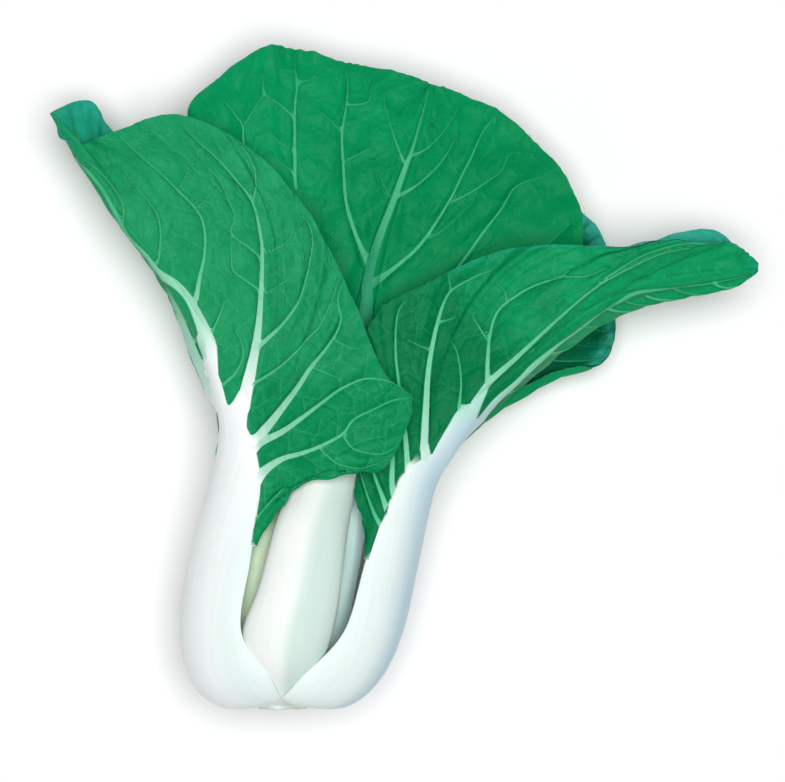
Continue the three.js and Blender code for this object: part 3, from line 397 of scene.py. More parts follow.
        [(-10, -59.6, 1.8), (-12.8, -52.4, 1.1), (-17.2, -40.4, 0.8), (-18.4, -32.4, 0.5)],
        [(21.2, -11.6, 1.4), (22.3, -2.2, 0.9), (21.2, 8.8, 0.7), (19, 14.4, 0.4)],
        [(78.8, 40, 0.7), (94.4, 49.4, 0.6), (111.2, 54.8, 0.5), (126, 55.6, 0.4)],
    ],
}

# How the widest veins of each front leaf widen down its stalk, until the whole stalk is white
MIDRIB_ROOTS = {
    "front_left": [
        [(-70.4, -63.6, 18.6), (-68.4, -52.4, 20), (-67.4, -41.2, 20.4), (-68.2, -28.4, 18),
         (-68.8, -22, 15), (-69.2, -16.4, 12), (-71.6, -12, 7.8), (-74.4, -2.4, 6.6),
         (-76.8, 7.6, 4), (-79.6, 17.6, 3.8)],
        [(-65.6, -22.8, 8), (-65.2, -16.4, 6.5), (-64.4, -10.4, 5)],
    ],
    "front_centre": [[(-20.4, -2.8, 18), (-18, 11.6, 10), (-16, 24.4, 5.6)]],
    "front_right": [
        [(-0.4, -64.4, 20), (4.6, -48.4, 18), (7.6, -40.4, 17), (13, -32.4, 10)],
        [(13, -32.4, 10), (17.2, -21.2, 4.6), (23.2, -11.2, 3)],
        [(13, -32.4, 10), (20.4, -24.4, 7), (26.8, -16.4, 5)],
    ],
}

# The side vein that shows on the half folded behind the front left leaf's midrib
FOLDED_VEINS = {
    "front_left": [
        [(-72.4, -44.4, 10), (-73.2, -30.4, 10), (-74.8, -20.4, 8), (-77, -12.4, 5.4),
         (-77.6, -3.2, 4.2), (-80, 3.6, 3.8), (-82.8, 9.6, 3.5), (-86.8, 19.6, 3),
         (-90.4, 28.4, 2.2), (-94.4, 37.6, 1.2)],
    ],
}

# How each leaf is made. Rows and columns are spaced for its visible parts.
#   span    distance between rows along a seen margin, and along a hidden one
#   left, stalk, right   columns
#   veined  halves whose veins are in FRONT_VEINS
#   crest   height of the ridge along the stalk's outer face, and where it runs across the stalk
#   white_until   shares of the length between which the white narrows from the stalk to its midrib
#   even_from   row from which a hidden half has its even side veins
#   painted_side_shade    painted shade, darker and bluer, on one side of the stalk: millimetres across it between which it begins, and its strength
#   painted_shade    painted shade where other leaves lie over the blade: two places in the picture between which the blade's green darkens
MAKE = {
    "front_left": dict(span=(0.85, 2.6), left=22, stalk=34, right=62, veined=("right",),
                       white_until=(0.49, 0.53), painted_side_shade=(12, 24, 0.5), even_from=3.5,
                       painted_shade=((-70, 60), (20, -90))),
    "front_centre": dict(span=(1.05, 1.05), left=58, stalk=30, right=52, veined=("left", "right"),
                         white_until=(0.62, 0.68), crest=(1.8, -0.08), painted_side_shade=(-2.5, 2.5, 0.9),
                         painted_shade=((-34, 110), (0, 28))),
    "front_right": dict(span=(0.85, 2.6), left=62, stalk=34, right=22, veined=("left",),
                        white_until=(0.5, 0.54), painted_side_shade=(-14, 0, 1), painted_shade=((66, 34), (-4, -6))),
    "back_right": dict(span=(1.3, 1.3), left=34, stalk=24, right=40, veined=()),
    "back_left": dict(span=(1.6, 1.6), left=26, stalk=24, right=26, veined=()),
    "inner_back": dict(span=(1.8, 1.8), left=24, stalk=20, right=24, veined=()),
    "inner_left": dict(span=(1.6, 1.6), left=12, stalk=22, right=12, veined=()),
    "inner_right": dict(span=(1.6, 1.6), left=12, stalk=22, right=12, veined=(),
                        painted_side_shade=(-30, -29, 1)),
    "heart_left": dict(span=(1.8, 1.8), left=8, stalk=12, right=8, veined=()),
    "heart_right": dict(span=(1.8, 1.8), left=8, stalk=12, right=8, veined=()),
}
STALK_SPAN = 1.5        # distance between rows along the stalk itself

# Sheet, in millimetres and shares
SEAM_RUN = 5            # a blade leaves the stalk's edge straight for about this
SEAM_SHARE = 0.4        # or for this share of a short way to its bend
STALK_CROWN = 0.6       # how full the stalk's section is
EDGE_BASE = 0.5         # a stalk's edge where the blade joins: this, and a share of its middle
EDGE_SHARE = 0.28
FREE_EDGE = 0.7         # thickness of the stalk's rounded free edge below the blade
EDGE_START = 0.07       # the free edge gets its full thickness over this share above the blade's start
BASE_CAP = 0.03         # the stalk's end is rounded over this share of its length
CREST_RUN = (0.05, 0.25, 0.6, 0.75)     # shares between which the crest rises, and falls again
CREST_ROUND = 0.015     # how round the crest's top is
MARGIN_FADE = 3         # relief fades out over this distance from a margin
STALK_FADE = (1, 8)     # and begins between these distances from the stalk
RIDGE_SPREAD = 0.8      # how far a vein's ridge runs out beside it
PILLOW_RUN = 1.8        # distance from a vein over which the blade sinks
PUCKER_WAVES = (11, 15)     # seed and length of a blade's uneven waves
STEM_WAVES = (21, 5)    # the same for the cut stem
NO_LAP = 6              # keeps the blade's green off a free edge of the stalk
FIELD_MARGIN = 0.08     # veins are followed this share further down than they show
EDGE_FADE = 7           # the blade thins out over this distance from the stalk
EDGE_FALL = 1.3         # how suddenly it does
NO_MARGIN = 99.0        # distance from the margin that stands for a point on the stalk
FLOOR_OUTER = 0         # no outer face is lower than the floor
FLOOR_INNER = 0.8


def smoothstep(x, low, high):
    u = np.clip((x - low) / (high - low), 0, 1)
    return u * u * (3 - 2 * u)


def unit(vectors):
    return vectors / np.maximum(np.linalg.norm(vectors, axis=-1, keepdims=True), 1e-9)


def along(rows, place):
    """A smooth run through rows of numbers, read at places between them"""
    rows = np.asarray(rows, float)
    last = len(rows) - 1
    index = np.clip(np.floor(place).astype(int), 0, last - 1)
    u = (place - index)[:, None]
    a, b, c, d = (rows[np.clip(index + k, 0, last)] for k in (-1, 0, 1, 2))
    return b + 0.5 * u * (c - a + u * (2 * a - 5 * b + 4 * c - d + u * (3 * (b - c) + d - a)))


class Waves:
    """Smooth seeded noise: a sum of sine waves in many directions, about -1 to 1"""

    def __init__(self, seed, length, count=28):
        draw = np.random.default_rng(seed)
        way = unit(draw.normal(size=(count, 3)))
        self.turn = way * (2 * np.pi / length) * draw.uniform(0.6, 1.5, (count, 1))
        self.phase = draw.uniform(0, 2 * np.pi, count)
        self.share = 1.6 / math.sqrt(count)

    def __call__(self, points):
        return self.share * np.sin(points @ self.turn.T + self.phase).sum(1)


class Leaf:
    """The curved sheet of one leaf, before it gets its thickness"""

    def __init__(self, name):
        self.name = name
        self.make = MAKE[name]
        self.table = LEAVES[name]
        self.stalk = self.table["stalk"]
        self.share = self.row_shares()
        self.cut = self.sections(self.share)
        self.columns()
        self.lay_grid()

    def sections(self, share):
        """The stalk's sections at shares of its length: centre, directions and sizes"""
        last = len(self.stalk) - 1
        place = share * last
        x, y, z, roll, right, left, thick, curl = along(self.stalk, place).T
        before = along(self.stalk, np.maximum(place - RUN_STEP, 0))[:, :3]
        after = along(self.stalk, np.minimum(place + RUN_STEP, last))[:, :3]
        lean = smoothstep(share, UPRIGHT_UNTIL, LEANING_FROM)[:, None]
        ahead = unit((1 - lean) * np.array([0, 1, 0]) + lean * unit(after - before))
        side = unit(np.cross(ahead, [0, 0, 1]))
        rise = np.cross(side, ahead)
        turn = np.radians(roll)[:, None]
        outward = np.cos(turn) * side + np.sin(turn) * rise
        return dict(
            centre=np.stack([x, y, z], 1), outward=outward, across=np.cross(ahead, outward),
            right=right, left=left, thick=thick, curl=curl,
        )

    def stalk_points(self, cut, w):
        """Points of the stalk's middle surface: w runs from -1, left edge, to 1, right edge"""
        half = np.where(w < 0, cut["left"], cut["right"])
        angle = (w * half / cut["curl"])[:, None]
        curl = cut["curl"][:, None]
        return (cut["centre"] + cut["outward"] * curl * (np.cos(angle) - 1)
                + cut["across"] * curl * np.sin(angle))

    def edge_way(self, cut, side):
        """The way the stalk's surface runs on at its edge, away from its middle"""
        half = cut["right"] if side > 0 else cut["left"]
        angle = (side * half / cut["curl"])[:, None]
        return side * (np.cos(angle) * cut["across"] - np.sin(angle) * cut["outward"])

    def half_rows(self, side):
        """A half blade's rows with its start at the stalk and its end at the tip"""
        half = self.table["right" if side > 0 else "left"]
        start = self.stalk_points(self.sections(np.array([half["start"]])), np.array([side]))[0]
        tip = self.stalk[-1][:3]
        return np.array([
            (half["start"], *start, 0, 0, 0), *half["rows"], (1, *tip, 0, 0, 0),
        ])

    def margin(self, side, share):
        """Margin points and bends of a half blade at shares of the leaf's length"""
        rows = self.half_rows(side)
        place = np.interp(share, rows[:, 0], np.arange(len(rows)))
        return place, along(rows, place)

    def row_shares(self):
        """Rows lie close where a margin or the stalk runs fast"""
        fine = np.linspace(0, 1, 6001)
        seen, hidden = self.make["span"]
        steps = [np.linalg.norm(np.diff(self.sections(fine)["centre"], axis=0), axis=1) / STALK_SPAN]
        starts = []
        for side, key in ((1, "right"), (-1, "left")):
            span = seen if key in self.make["veined"] or seen == hidden else hidden
            edge = self.margin(side, fine)[1][:, 1:4]
            steps.append(np.linalg.norm(np.diff(edge, axis=0), axis=1) / span)
            starts.append(self.table[key]["start"])
        count = np.concatenate([[0], np.cumsum(np.maximum.reduce(steps))])
        rows = np.interp(np.linspace(0, count[-1], int(count[-1]) + 1), count, fine)
        return np.unique(np.round(np.concatenate([rows, starts]), 6))

    def columns(self):
        """Columns from the left margin to the right one. v is 0 on the stalk and 1 at a margin."""
        left = np.linspace(1, 0, self.make["left"] + 1)[:-1]
        right = np.linspace(0, 1, self.make["right"] + 1)[1:]
        lean = np.linspace(-1, 1, self.make["stalk"] + 1)
        w = np.sin(lean * math.pi / 2) * 0.45 + lean * 0.55
        self.v = np.concatenate([left, np.zeros(len(w)), right])
        self.w = np.concatenate([-np.ones(len(left)), w, np.ones(len(right))])
        self.side = np.concatenate([-np.ones(len(left)), np.zeros(len(w)), np.ones(len(right))])
        self.edge_column = {-1: len(left), 1: len(left) + len(w) - 1}

    def lay_grid(self):
        """Points of the sheet, with the columns beyond the stalk's edge closed below the blade"""
        rows, columns = len(self.share), len(self.v)
        grid = np.zeros((rows, columns, 3))
        for j in np.flatnonzero(self.side == 0):
            grid[:, j] = self.stalk_points(self.cut, np.full(rows, self.w[j]))
        ids = np.arange(rows * columns).reshape(rows, columns)
        self.reach = {}
        for side in (-1, 1):
            edge = self.edge_column[side]
            start = grid[:, edge]
            place, row = self.margin(side, self.share)
            margin = row[:, 1:4]
            bend = (start + margin) / 2 + row[:, 4:7]
            run = np.minimum(SEAM_RUN, SEAM_SHARE * np.linalg.norm(start - bend, axis=1))
            leave = start + self.edge_way(self.cut, side) * run[:, None]
            cols = np.flatnonzero(self.side == side)
            v = self.v[cols][None, :, None]
            grid[:, cols] = ((1 - v) ** 3 * start[:, None] + 3 * (1 - v) ** 2 * v * leave[:, None]
                             + 3 * (1 - v) * v * v * bend[:, None] + v ** 3 * margin[:, None])
            below = self.share <= self.table["right" if side > 0 else "left"]["start"]
            ids[np.ix_(below, cols)] = ids[below, edge][:, None]
            grid[np.ix_(below, cols)] = start[below][:, None]
            self.reach[side] = np.linalg.norm(margin - start, axis=1)
        ids[-1] = ids[-1, self.edge_column[-1]]
        grid[-1] = grid[-1, self.edge_column[-1]]
        self.grid = grid
        self.ids = ids

    def faces(self):
        """Triangles of the sheet, and which of them belong to the stalk piece"""
        a, b = self.ids[:-1, :-1], self.ids[:-1, 1:]
        d, c = self.ids[1:, :-1], self.ids[1:, 1:]
        middle = (self.share[:-1] + self.share[1:]) / 2
        columns = np.arange(len(self.v) - 1)
        inside = (columns >= self.edge_column[-1]) & (columns < self.edge_column[1])
        stalk = (middle < STALK_END)[:, None] & inside[None, :]
        pairs = [np.stack([a, b, c], -1), np.stack([a, c, d], -1)]
        tri = np.concatenate([pair.reshape(-1, 3) for pair in pairs])
        owner = np.concatenate([stalk.ravel(), stalk.ravel()])
        keep = (tri[:, 0] != tri[:, 1]) & (tri[:, 1] != tri[:, 2]) & (tri[:, 2] != tri[:, 0])
        return tri[keep], owner[keep]

    def surface(self, share, column):
        """Points of the sheet at places between its rows and columns"""
        i = np.interp(share, self.share, np.arange(len(self.share)))
        i0 = np.clip(i.astype(int), 0, len(self.share) - 2)
        j0 = np.clip(column.astype(int), 0, len(self.v) - 2)
        a, b = (i - i0)[:, None], (column - j0)[:, None]
        g = self.grid
        return ((1 - a) * ((1 - b) * g[i0, j0] + b * g[i0, j0 + 1])
                + a * ((1 - b) * g[i0 + 1, j0] + b * g[i0 + 1, j0 + 1]))


def vertex_normals(points, tri):
    """Normals of a mesh's points, each the sum of its faces' by their size"""
    ab = points[tri[:, 1]] - points[tri[:, 0]]
    ac = points[tri[:, 2]] - points[tri[:, 0]]
    face = np.cross(ab, ac)
    total = np.zeros_like(points)
    for corner in range(3):
        for axis in range(3):
            total[:, axis] += np.bincount(tri[:, corner], face[:, axis], len(points))
    return unit(total)


def as_pictured(points):
    """Where the camera sees points, in millimetres at the picture's height"""
    scale = (CAMERA_Z - PICTURE_Z) / (CAMERA_Z - points[..., 2])
    return np.stack([CAMERA_X + (points[..., 0] - CAMERA_X) * scale,
                     CAMERA_Y + (points[..., 1] - CAMERA_Y) * scale], -1)


def resample(line, step):
    """A line of points and widths with points at even steps on a smooth run through them"""
    line = np.asarray(line, float)
    fine = along(line, np.linspace(0, len(line) - 1, 12 * (len(line) - 1) + 1))
    length = np.concatenate([[0], np.cumsum(np.linalg.norm(np.diff(fine[:, :-1], axis=0), axis=1))])
    even = np.linspace(0, length[-1], max(int(length[-1] / step), 1) + 1)
    return np.stack([np.interp(even, length, column) for column in fine.T], 1)


# Small veins, one generation a row: distance apart on their parent, width, greatest length
SMALL_VEINS = ((12, 0.5, 20), (8, 0.34, 9))
SMALL_VEIN_SEED = 5
LEAVING = (48, 78)      # degrees between a small vein and the one that it leaves
BENDING = (-3.5, 2)     # degrees that it turns in each step
OFF_SHEET = 1.2         # a place this far from the sheet's points is off it
MEETING = 0.6           # small veins end this near to another
FIELD_BLOCK = 400       # points whose nearest vein is looked up together


class Veins:
    """Vein lines of one half blade: pictured ones as the camera sees them, others on the sheet"""

    STEP = 1.2

    def __init__(self, leaf, side):
        self.leaf = leaf
        self.side = side
        self.key = "right" if side > 0 else "left"
        self.on_sheet, self.pictured, self.small = [], [], []
        drawn = FRONT_VEINS.get(leaf.name, [])
        roots = MIDRIB_ROOTS.get(leaf.name, [])
        if self.key in leaf.make["veined"]:
            self.tree = self.sheet_lookup()
            self.pictured = self.flat([*drawn, *roots])
            self.small = self.flat(self.branches([resample(line, self.STEP) for line in drawn]))
            return
        self.on_sheet = self.even_lines()
        self.pictured = self.flat([*drawn[:1], *roots, *FOLDED_VEINS.get(leaf.name, [])])

    def flat(self, lines):
        """Lines in the picture's plane, each point with half its width"""
        lines = [resample(line, self.STEP) for line in lines]
        return [np.column_stack([line[:, :2], np.zeros(len(line)), line[:, 2] / 2])
                for line in lines]

    def sheet_lookup(self):
        """Tells whether a place in the picture is on this half of the blade or on the stalk"""
        columns = np.flatnonzero((self.leaf.side == self.side) | (self.leaf.side == 0))
        start = min(self.leaf.table[self.key]["start"],
                    self.leaf.make["white_until"][0] - FIELD_MARGIN)
        rows = np.flatnonzero(self.leaf.share > start)
        seen = as_pictured(self.leaf.grid[np.ix_(rows, columns)].reshape(-1, 3))
        tree = KDTree(len(seen))
        for i, (x, y) in enumerate(seen):
            tree.insert((x, y, 0), i)
        tree.balance()
        return tree

    def branches(self, lines):
        """Small veins, seen from above, that leave the larger ones and end where they meet another"""
        draw = np.random.default_rng(SMALL_VEIN_SEED)
        known = np.concatenate([line[:, :2] for line in lines])
        made = []
        for apart, width, longest in SMALL_VEINS:
            grown = []
            for line in lines:
                at = draw.uniform(1, apart)
                for k in range(1, len(line)):
                    at -= self.STEP
                    if at > 0:
                        continue
                    at = draw.uniform(0.6, 1.4) * apart / 2
                    way = line[k, :2] - line[k - 1, :2]
                    side = 1 if len(grown) % 2 else -1
                    angle = math.atan2(way[1], way[0]) + side * math.radians(draw.uniform(*LEAVING))
                    bend = math.radians(draw.uniform(*BENDING)) * side
                    new = self.walk(line[k, :2], angle, bend, draw.uniform(0.5, 1) * longest, known)
                    if len(new) > 2:
                        sizes = np.linspace(width, width * 0.6, len(new))
                        grown.append(np.column_stack([new, sizes]))
                        known = np.concatenate([known, new])
            made += grown
            lines = grown
        return made

    def walk(self, start, angle, bend, longest, known):
        """Points of one small vein from its start to the sheet's end or to another vein"""
        step = 1.0
        points = [start]
        while len(points) * step < longest:
            angle += bend
            after = points[-1] + step * np.array([math.cos(angle), math.sin(angle)])
            if self.tree.find((*after, 0))[2] > OFF_SHEET:
                break
            points.append(after)
            if len(points) > 3 and np.min(np.sum((known - after) ** 2, axis=1)) < MEETING ** 2:
                break
        return np.array(points)

    def even_lines(self):
        """Side veins of a half that the camera hardly sees, along its rows and between them"""
        rows = self.leaf.half_rows(self.side)
        edge = self.leaf.edge_column[self.side]
        last = len(self.leaf.v) - 1 if self.side > 0 else 0
        lines = []
        for place in np.arange(self.leaf.make.get("even_from", 1.5), len(rows) - 1.6, 0.5):
            v = np.linspace(0, 0.95, 26)
            share = np.interp(place + 0.5 * v * v, np.arange(len(rows)), rows[:, 0])
            points = self.leaf.surface(share, edge + (last - edge) * v)
            strong = 1.0 if float(place).is_integer() else 0.6
            width = strong * (1.3 - 1.05 * v)
            lines.append(np.column_stack([points, width / 2]))
        return lines


def line_field(points, normals, lines):
    """For each point, the nearest vein: signed side distance, half width, and gap to its edge"""
    a = np.concatenate([line[:-1] for line in lines]).astype(np.float32)
    b = np.concatenate([line[1:] for line in lines]).astype(np.float32)
    way = b[:, :3] - a[:, :3]
    size = np.maximum((way ** 2).sum(1), 1e-6)
    side = np.zeros(len(points))
    half = np.zeros(len(points))
    gap = np.zeros(len(points))
    for low in range(0, len(points), FIELD_BLOCK):
        part = slice(low, low + FIELD_BLOCK)
        p = points[part].astype(np.float32)
        off = p[:, None] - a[None, :, :3]
        u = np.clip((off * way).sum(2) / size, 0, 1)
        off -= u[:, :, None] * way
        distance = np.sqrt((off ** 2).sum(2))
        width = a[:, 3] + u * (b[:, 3] - a[:, 3])
        best = np.argmin(distance - width, axis=1)
        pick = (np.arange(len(p)), best)
        turned = np.cross(way[best], off[pick])
        sign = np.where((turned * normals[part]).sum(1) < 0, -1, 1)
        side[part] = sign * distance[pick]
        half[part] = width[pick]
        gap[part] = distance[pick] - width[pick]
    return side, half, gap


def closed(tri, count):
    """Outer faces, inner faces and the walls along every open edge"""
    edges = np.concatenate([tri[:, [0, 1]], tri[:, [1, 2]], tri[:, [2, 0]]])
    forward = edges[:, 0] * count + edges[:, 1]
    backward = edges[:, 1] * count + edges[:, 0]
    start, end = edges[~np.isin(forward, backward)].T
    walls = np.concatenate([np.stack([end, start, count + start], 1),
                            np.stack([end, count + start, count + end], 1)])
    return np.concatenate([tri, tri[:, [0, 2, 1]] + count, walls])


def mesh_piece(name, points, tri, normals, values):
    """A smooth mesh object from points in millimetres, with its own normals and named values"""
    used = np.unique(tri)
    renumber = np.zeros(len(points), int)
    renumber[used] = np.arange(len(used))
    tri = renumber[tri]
    mesh = bpy.data.meshes.new(name)
    mesh.vertices.add(len(used))
    mesh.vertices.foreach_set("co", (points[used] * MM).astype(np.float32).ravel())
    mesh.loops.add(tri.size)
    mesh.loops.foreach_set("vertex_index", tri.astype(np.int32).ravel())
    mesh.polygons.add(len(tri))
    mesh.polygons.foreach_set("loop_start", np.arange(0, tri.size, 3, dtype=np.int32))
    mesh.update(calc_edges=True)
    mesh.validate()
    for key, value in values.items():
        attribute = mesh.attributes.new(key, "FLOAT", "POINT")
        attribute.data.foreach_set("value", value[used].astype(np.float32))
    mesh.normals_split_custom_set_from_vertices(normals[used])
    piece = bpy.data.objects.new(name, mesh)
    bpy.context.collection.objects.link(piece)
    return piece


def vein_fields(leaf, middle, normals, side, share):
    """For each point of a leaf, its place beside the nearest vein and the nearest small vein"""
    seen = np.column_stack([as_pictured(middle), np.zeros(len(middle))])
    up = np.tile((0.0, 0.0, 1.0), (len(middle), 1))
    field = np.tile([[9.0], [0.2], [9.0]], len(middle))
    small = field.copy()
    all_pictured = []
    for way in (-1, 1):
        veins = Veins(leaf, way)
        chosen = np.flatnonzero((side == way) & (share > leaf.table[veins.key]["start"]))
        if veins.on_sheet:
            field[:, chosen] = line_field(middle[chosen], normals[chosen], veins.on_sheet)
        if veins.pictured:
            new = np.array(line_field(seen[chosen], up[chosen], veins.pictured))
            field[:, chosen] = np.where(new[2] < field[2, chosen], new, field[:, chosen])
        if veins.small:
            small[:, chosen] = line_field(seen[chosen], up[chosen], veins.small)
            all_pictured += veins.pictured
    if all_pictured:
        from_share = leaf.make["white_until"][0] - FIELD_MARGIN
        chosen = np.flatnonzero((side == 0) & (share > from_share))
        field[:, chosen] = line_field(seen[chosen], up[chosen], all_pictured)
    return field, small


def distances(leaf):
    """How far each point is inside the stalk's edge, beyond it, and from the margin, along its row"""
    step = np.linalg.norm(np.diff(leaf.grid, axis=1), axis=2)
    path = np.concatenate([np.zeros((len(step), 1)), np.cumsum(step, axis=1)], axis=1)
    left, right = leaf.edge_column[-1], leaf.edge_column[1]
    inside = np.minimum(path - path[:, [left]], path[:, [right]] - path)
    beyond = np.zeros(path.shape)
    beyond[:, right:] = path[:, right:] - path[:, [right]]
    beyond[:, :left] = path[:, [left]] - path[:, :left]
    to_margin = np.full(path.shape, NO_MARGIN)
    to_margin[:, right:] = path[:, [-1]] - path[:, right:]
    to_margin[:, :left] = path[:, :left]
    return inside.ravel(), beyond.ravel(), to_margin.ravel()


def build_leaf(name, look):
    """Stalk piece and blade piece of one leaf"""
    leaf = Leaf(name)
    rows, columns = leaf.grid.shape[:2]
    tri, owner = leaf.faces()
    middle = leaf.grid.reshape(-1, 3)
    normals = vertex_normals(middle, tri)

    share = np.repeat(leaf.share, columns)
    w = np.tile(leaf.w, rows)
    side = np.tile(leaf.side, rows)
    thick = np.repeat(leaf.cut["thick"], columns)
    edge = EDGE_BASE + EDGE_SHARE * thick

    half_width = np.where(w < 0, np.repeat(leaf.cut["left"], columns),
                          np.repeat(leaf.cut["right"], columns))
    across = np.where(side == 0, w, side) * half_width
    inside, beyond, to_margin = distances(leaf)
    stalk_gap = np.where(side == 0, -inside, beyond)
    started = np.zeros(rows * columns)
    for way in (-1, 1):
        start = leaf.table["right" if way > 0 else "left"]["start"]
        started = np.where(np.sign(w) == way, smoothstep(share, start, start + EDGE_START), started)
    stalk_gap -= NO_LAP * (1 - started) * (side == 0)
    centre_run = np.linalg.norm(np.diff(leaf.cut["centre"], axis=0), axis=1)
    length = np.repeat(np.concatenate([[0], np.cumsum(centre_run)]), columns)

    white_from, white_to = leaf.make.get("white_until", (0.6, 0.75))
    veins, small_veins = vein_fields(leaf, middle, normals, side, share)
    vein_side, vein_half, vein_gap = veins
    small_side, small_half, small_gap = small_veins
    whole = 1 - smoothstep(share, white_from, white_to)
    # painted shade: the stalk's colour turns darker and bluer across one side, standing in for the side
    # that the light misses
    shade_from, shade_to, shade_strength = leaf.make.get("painted_side_shade", (0, 1, 0))
    painted_side_shade = shade_strength * smoothstep(across, shade_from, shade_to)
    # painted shade: the blade's green darkens from the first place to the second, standing in for the
    # shade where the leaves lie over one another
    pale, dark = np.array(leaf.make.get("painted_shade", ((0, 0), (0, 1))))
    fall = dark - pale
    painted_shade = smoothstep((middle[:, :2] - pale) @ fall / (fall @ fall), 0, 1) * ("painted_shade" in leaf.make)

    rim = FREE_EDGE + (edge - FREE_EDGE) * started
    body = rim + (thick - rim) * np.clip(1 - w * w, 0, 1) ** STALK_CROWN
    thin = look.blade_thickness / MM
    sheet = thin + np.maximum(edge - thin, 0) * np.exp(-(beyond / EDGE_FADE * 2) ** EDGE_FALL)
    depth = np.where(side == 0, body, sheet)
    crest, crest_at = leaf.make.get("crest", (0, 0))
    facet = crest * (1 - np.sqrt((w - crest_at) ** 2 + CREST_ROUND)) * (side == 0) * (
        smoothstep(share, *CREST_RUN[:2]) * (1 - smoothstep(share, *CREST_RUN[2:])))
    cap = 0.5 + 0.5 * smoothstep(share, 0, BASE_CAP)
    half = depth * cap / 2

    fade = smoothstep(to_margin, 0, MARGIN_FADE)
    ridge = look.vein_relief / MM * np.sqrt(np.clip(vein_half, 0.1, 2)) * np.exp(
        -(np.maximum(vein_gap, 0) / RIDGE_SPREAD) ** 2) * (side != 0) * smoothstep(beyond, 0, 4) * fade
    tooth, ruffle = margin_detail(leaf, look, to_margin.reshape(rows, columns))
    middle = middle + tooth
    pillow = (1 - np.exp(-np.maximum(vein_gap, 0) / PILLOW_RUN)) * smoothstep(beyond, *STALK_FADE)
    pucker = look.pucker / MM * pillow * Waves(*PUCKER_WAVES)(middle)
    swell = -look.pillow / MM * pillow * fade
    move = (pucker + swell) * (side != 0) + ruffle
    sheet_points = middle + normals * move[:, None]

    outer = sheet_points + normals * (half + ridge + facet)[:, None]
    inner = sheet_points - normals * (half - 0.5 * ridge)[:, None]
    outer[:, 2] = np.maximum(outer[:, 2], FLOOR_OUTER)
    inner[:, 2] = np.maximum(inner[:, 2], FLOOR_INNER)
    points = np.concatenate([outer, inner])
    shading = np.concatenate([vertex_normals(outer, tri), -vertex_normals(inner, tri)])
    count = rows * columns
    values = {
        "vein_side": vein_side, "vein_half": vein_half, "vein_gap": vein_gap,
        "small_side": small_side, "small_half": small_half, "small_gap": small_gap, "share": share,
        "white": whole, "stalk_gap": stalk_gap, "across": across, "along": length, "to_margin": to_margin,
        "painted_side_shade": painted_side_shade, "painted_shade": painted_shade,
    }
    values = {key: np.concatenate([value, value]) for key, value in values.items()}
    values["inner_face"] = np.concatenate([np.zeros(count), np.ones(count)])
    pieces = {}
    for part, chosen in (("stalk", owner), ("blade", ~owner)):
        piece = mesh_piece(f"{name}_{part}_skin", points, closed(tri[chosen], count), shading, values)
        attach(piece, "root")
        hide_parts(f"{name}_{part}")
        pieces[part] = piece
    return pieces


def build_stem(look):
    """The cut stem: a short solid that flares into the stalks, with a slightly uneven cut face"""
    profile = resample(STEM_PROFILE, 0.5)
    turns = np.linspace(0, 2 * np.pi, STEM_SIDES, endpoint=False)
    radius, height = profile[:, 0], profile[:, 1]
    ring = np.stack([np.cos(turns), np.sin(turns)], 1)
    points = np.zeros((len(profile), STEM_SIDES, 3))
    points[..., 0] = AXIS_X + radius[:, None] * ring[None, :, 0]
    points[..., 1] = height[:, None]
    points[..., 2] = AXIS_Z + radius[:, None] * ring[None, :, 1]
    flat = points.reshape(-1, 3)
    flat = flat + look.stem_roughness / MM * Waves(*STEM_WAVES)(flat)[:, None] * unit(
        flat - np.array([AXIS_X, -122, AXIS_Z]))
    flat[:, 1] = np.maximum(flat[:, 1], STEM_FOOT)
    rows, sides = points.shape[:2]
    ids = np.arange(rows * sides).reshape(rows, sides)
    ids = np.concatenate([ids, ids[:, :1]], axis=1)
    ids[0], ids[-1] = ids[0, 0], ids[-1, 0]
    flat[ids[0, 0], [0, 2]] = AXIS_X, AXIS_Z
    flat[ids[-1, 0], [0, 2]] = AXIS_X, AXIS_Z
    a, b, c, d = ids[:-1, :-1], ids[:-1, 1:], ids[1:, 1:], ids[1:, :-1]
    tri = np.concatenate([np.stack([a, c, b], -1).reshape(-1, 3), np.stack([a, d, c], -1).reshape(-1, 3)])
    tri = tri[(tri[:, 0] != tri[:, 1]) & (tri[:, 1] != tri[:, 2]) & (tri[:, 2] != tri[:, 0])]
    values = {"radius": np.repeat(radius, sides), "height": np.repeat(height, sides)}
    return mesh_piece("stem_base_skin", flat, tri, vertex_normals(flat, tri), values)


# Margins. Waves are given by their seed and length.
SHORT_REACH = (2, 12)   # a half blade narrower than this has weaker teeth and ruffle
TOOTH_DEPTH = 2.5       # teeth are felt this far into the blade
TOOTH_SHIFT = (3, 30)
TOOTH_SIZE = (4, 20)
LONG_RUFFLE = (6, 26)
SHORT_RUFFLE = (7, 11)


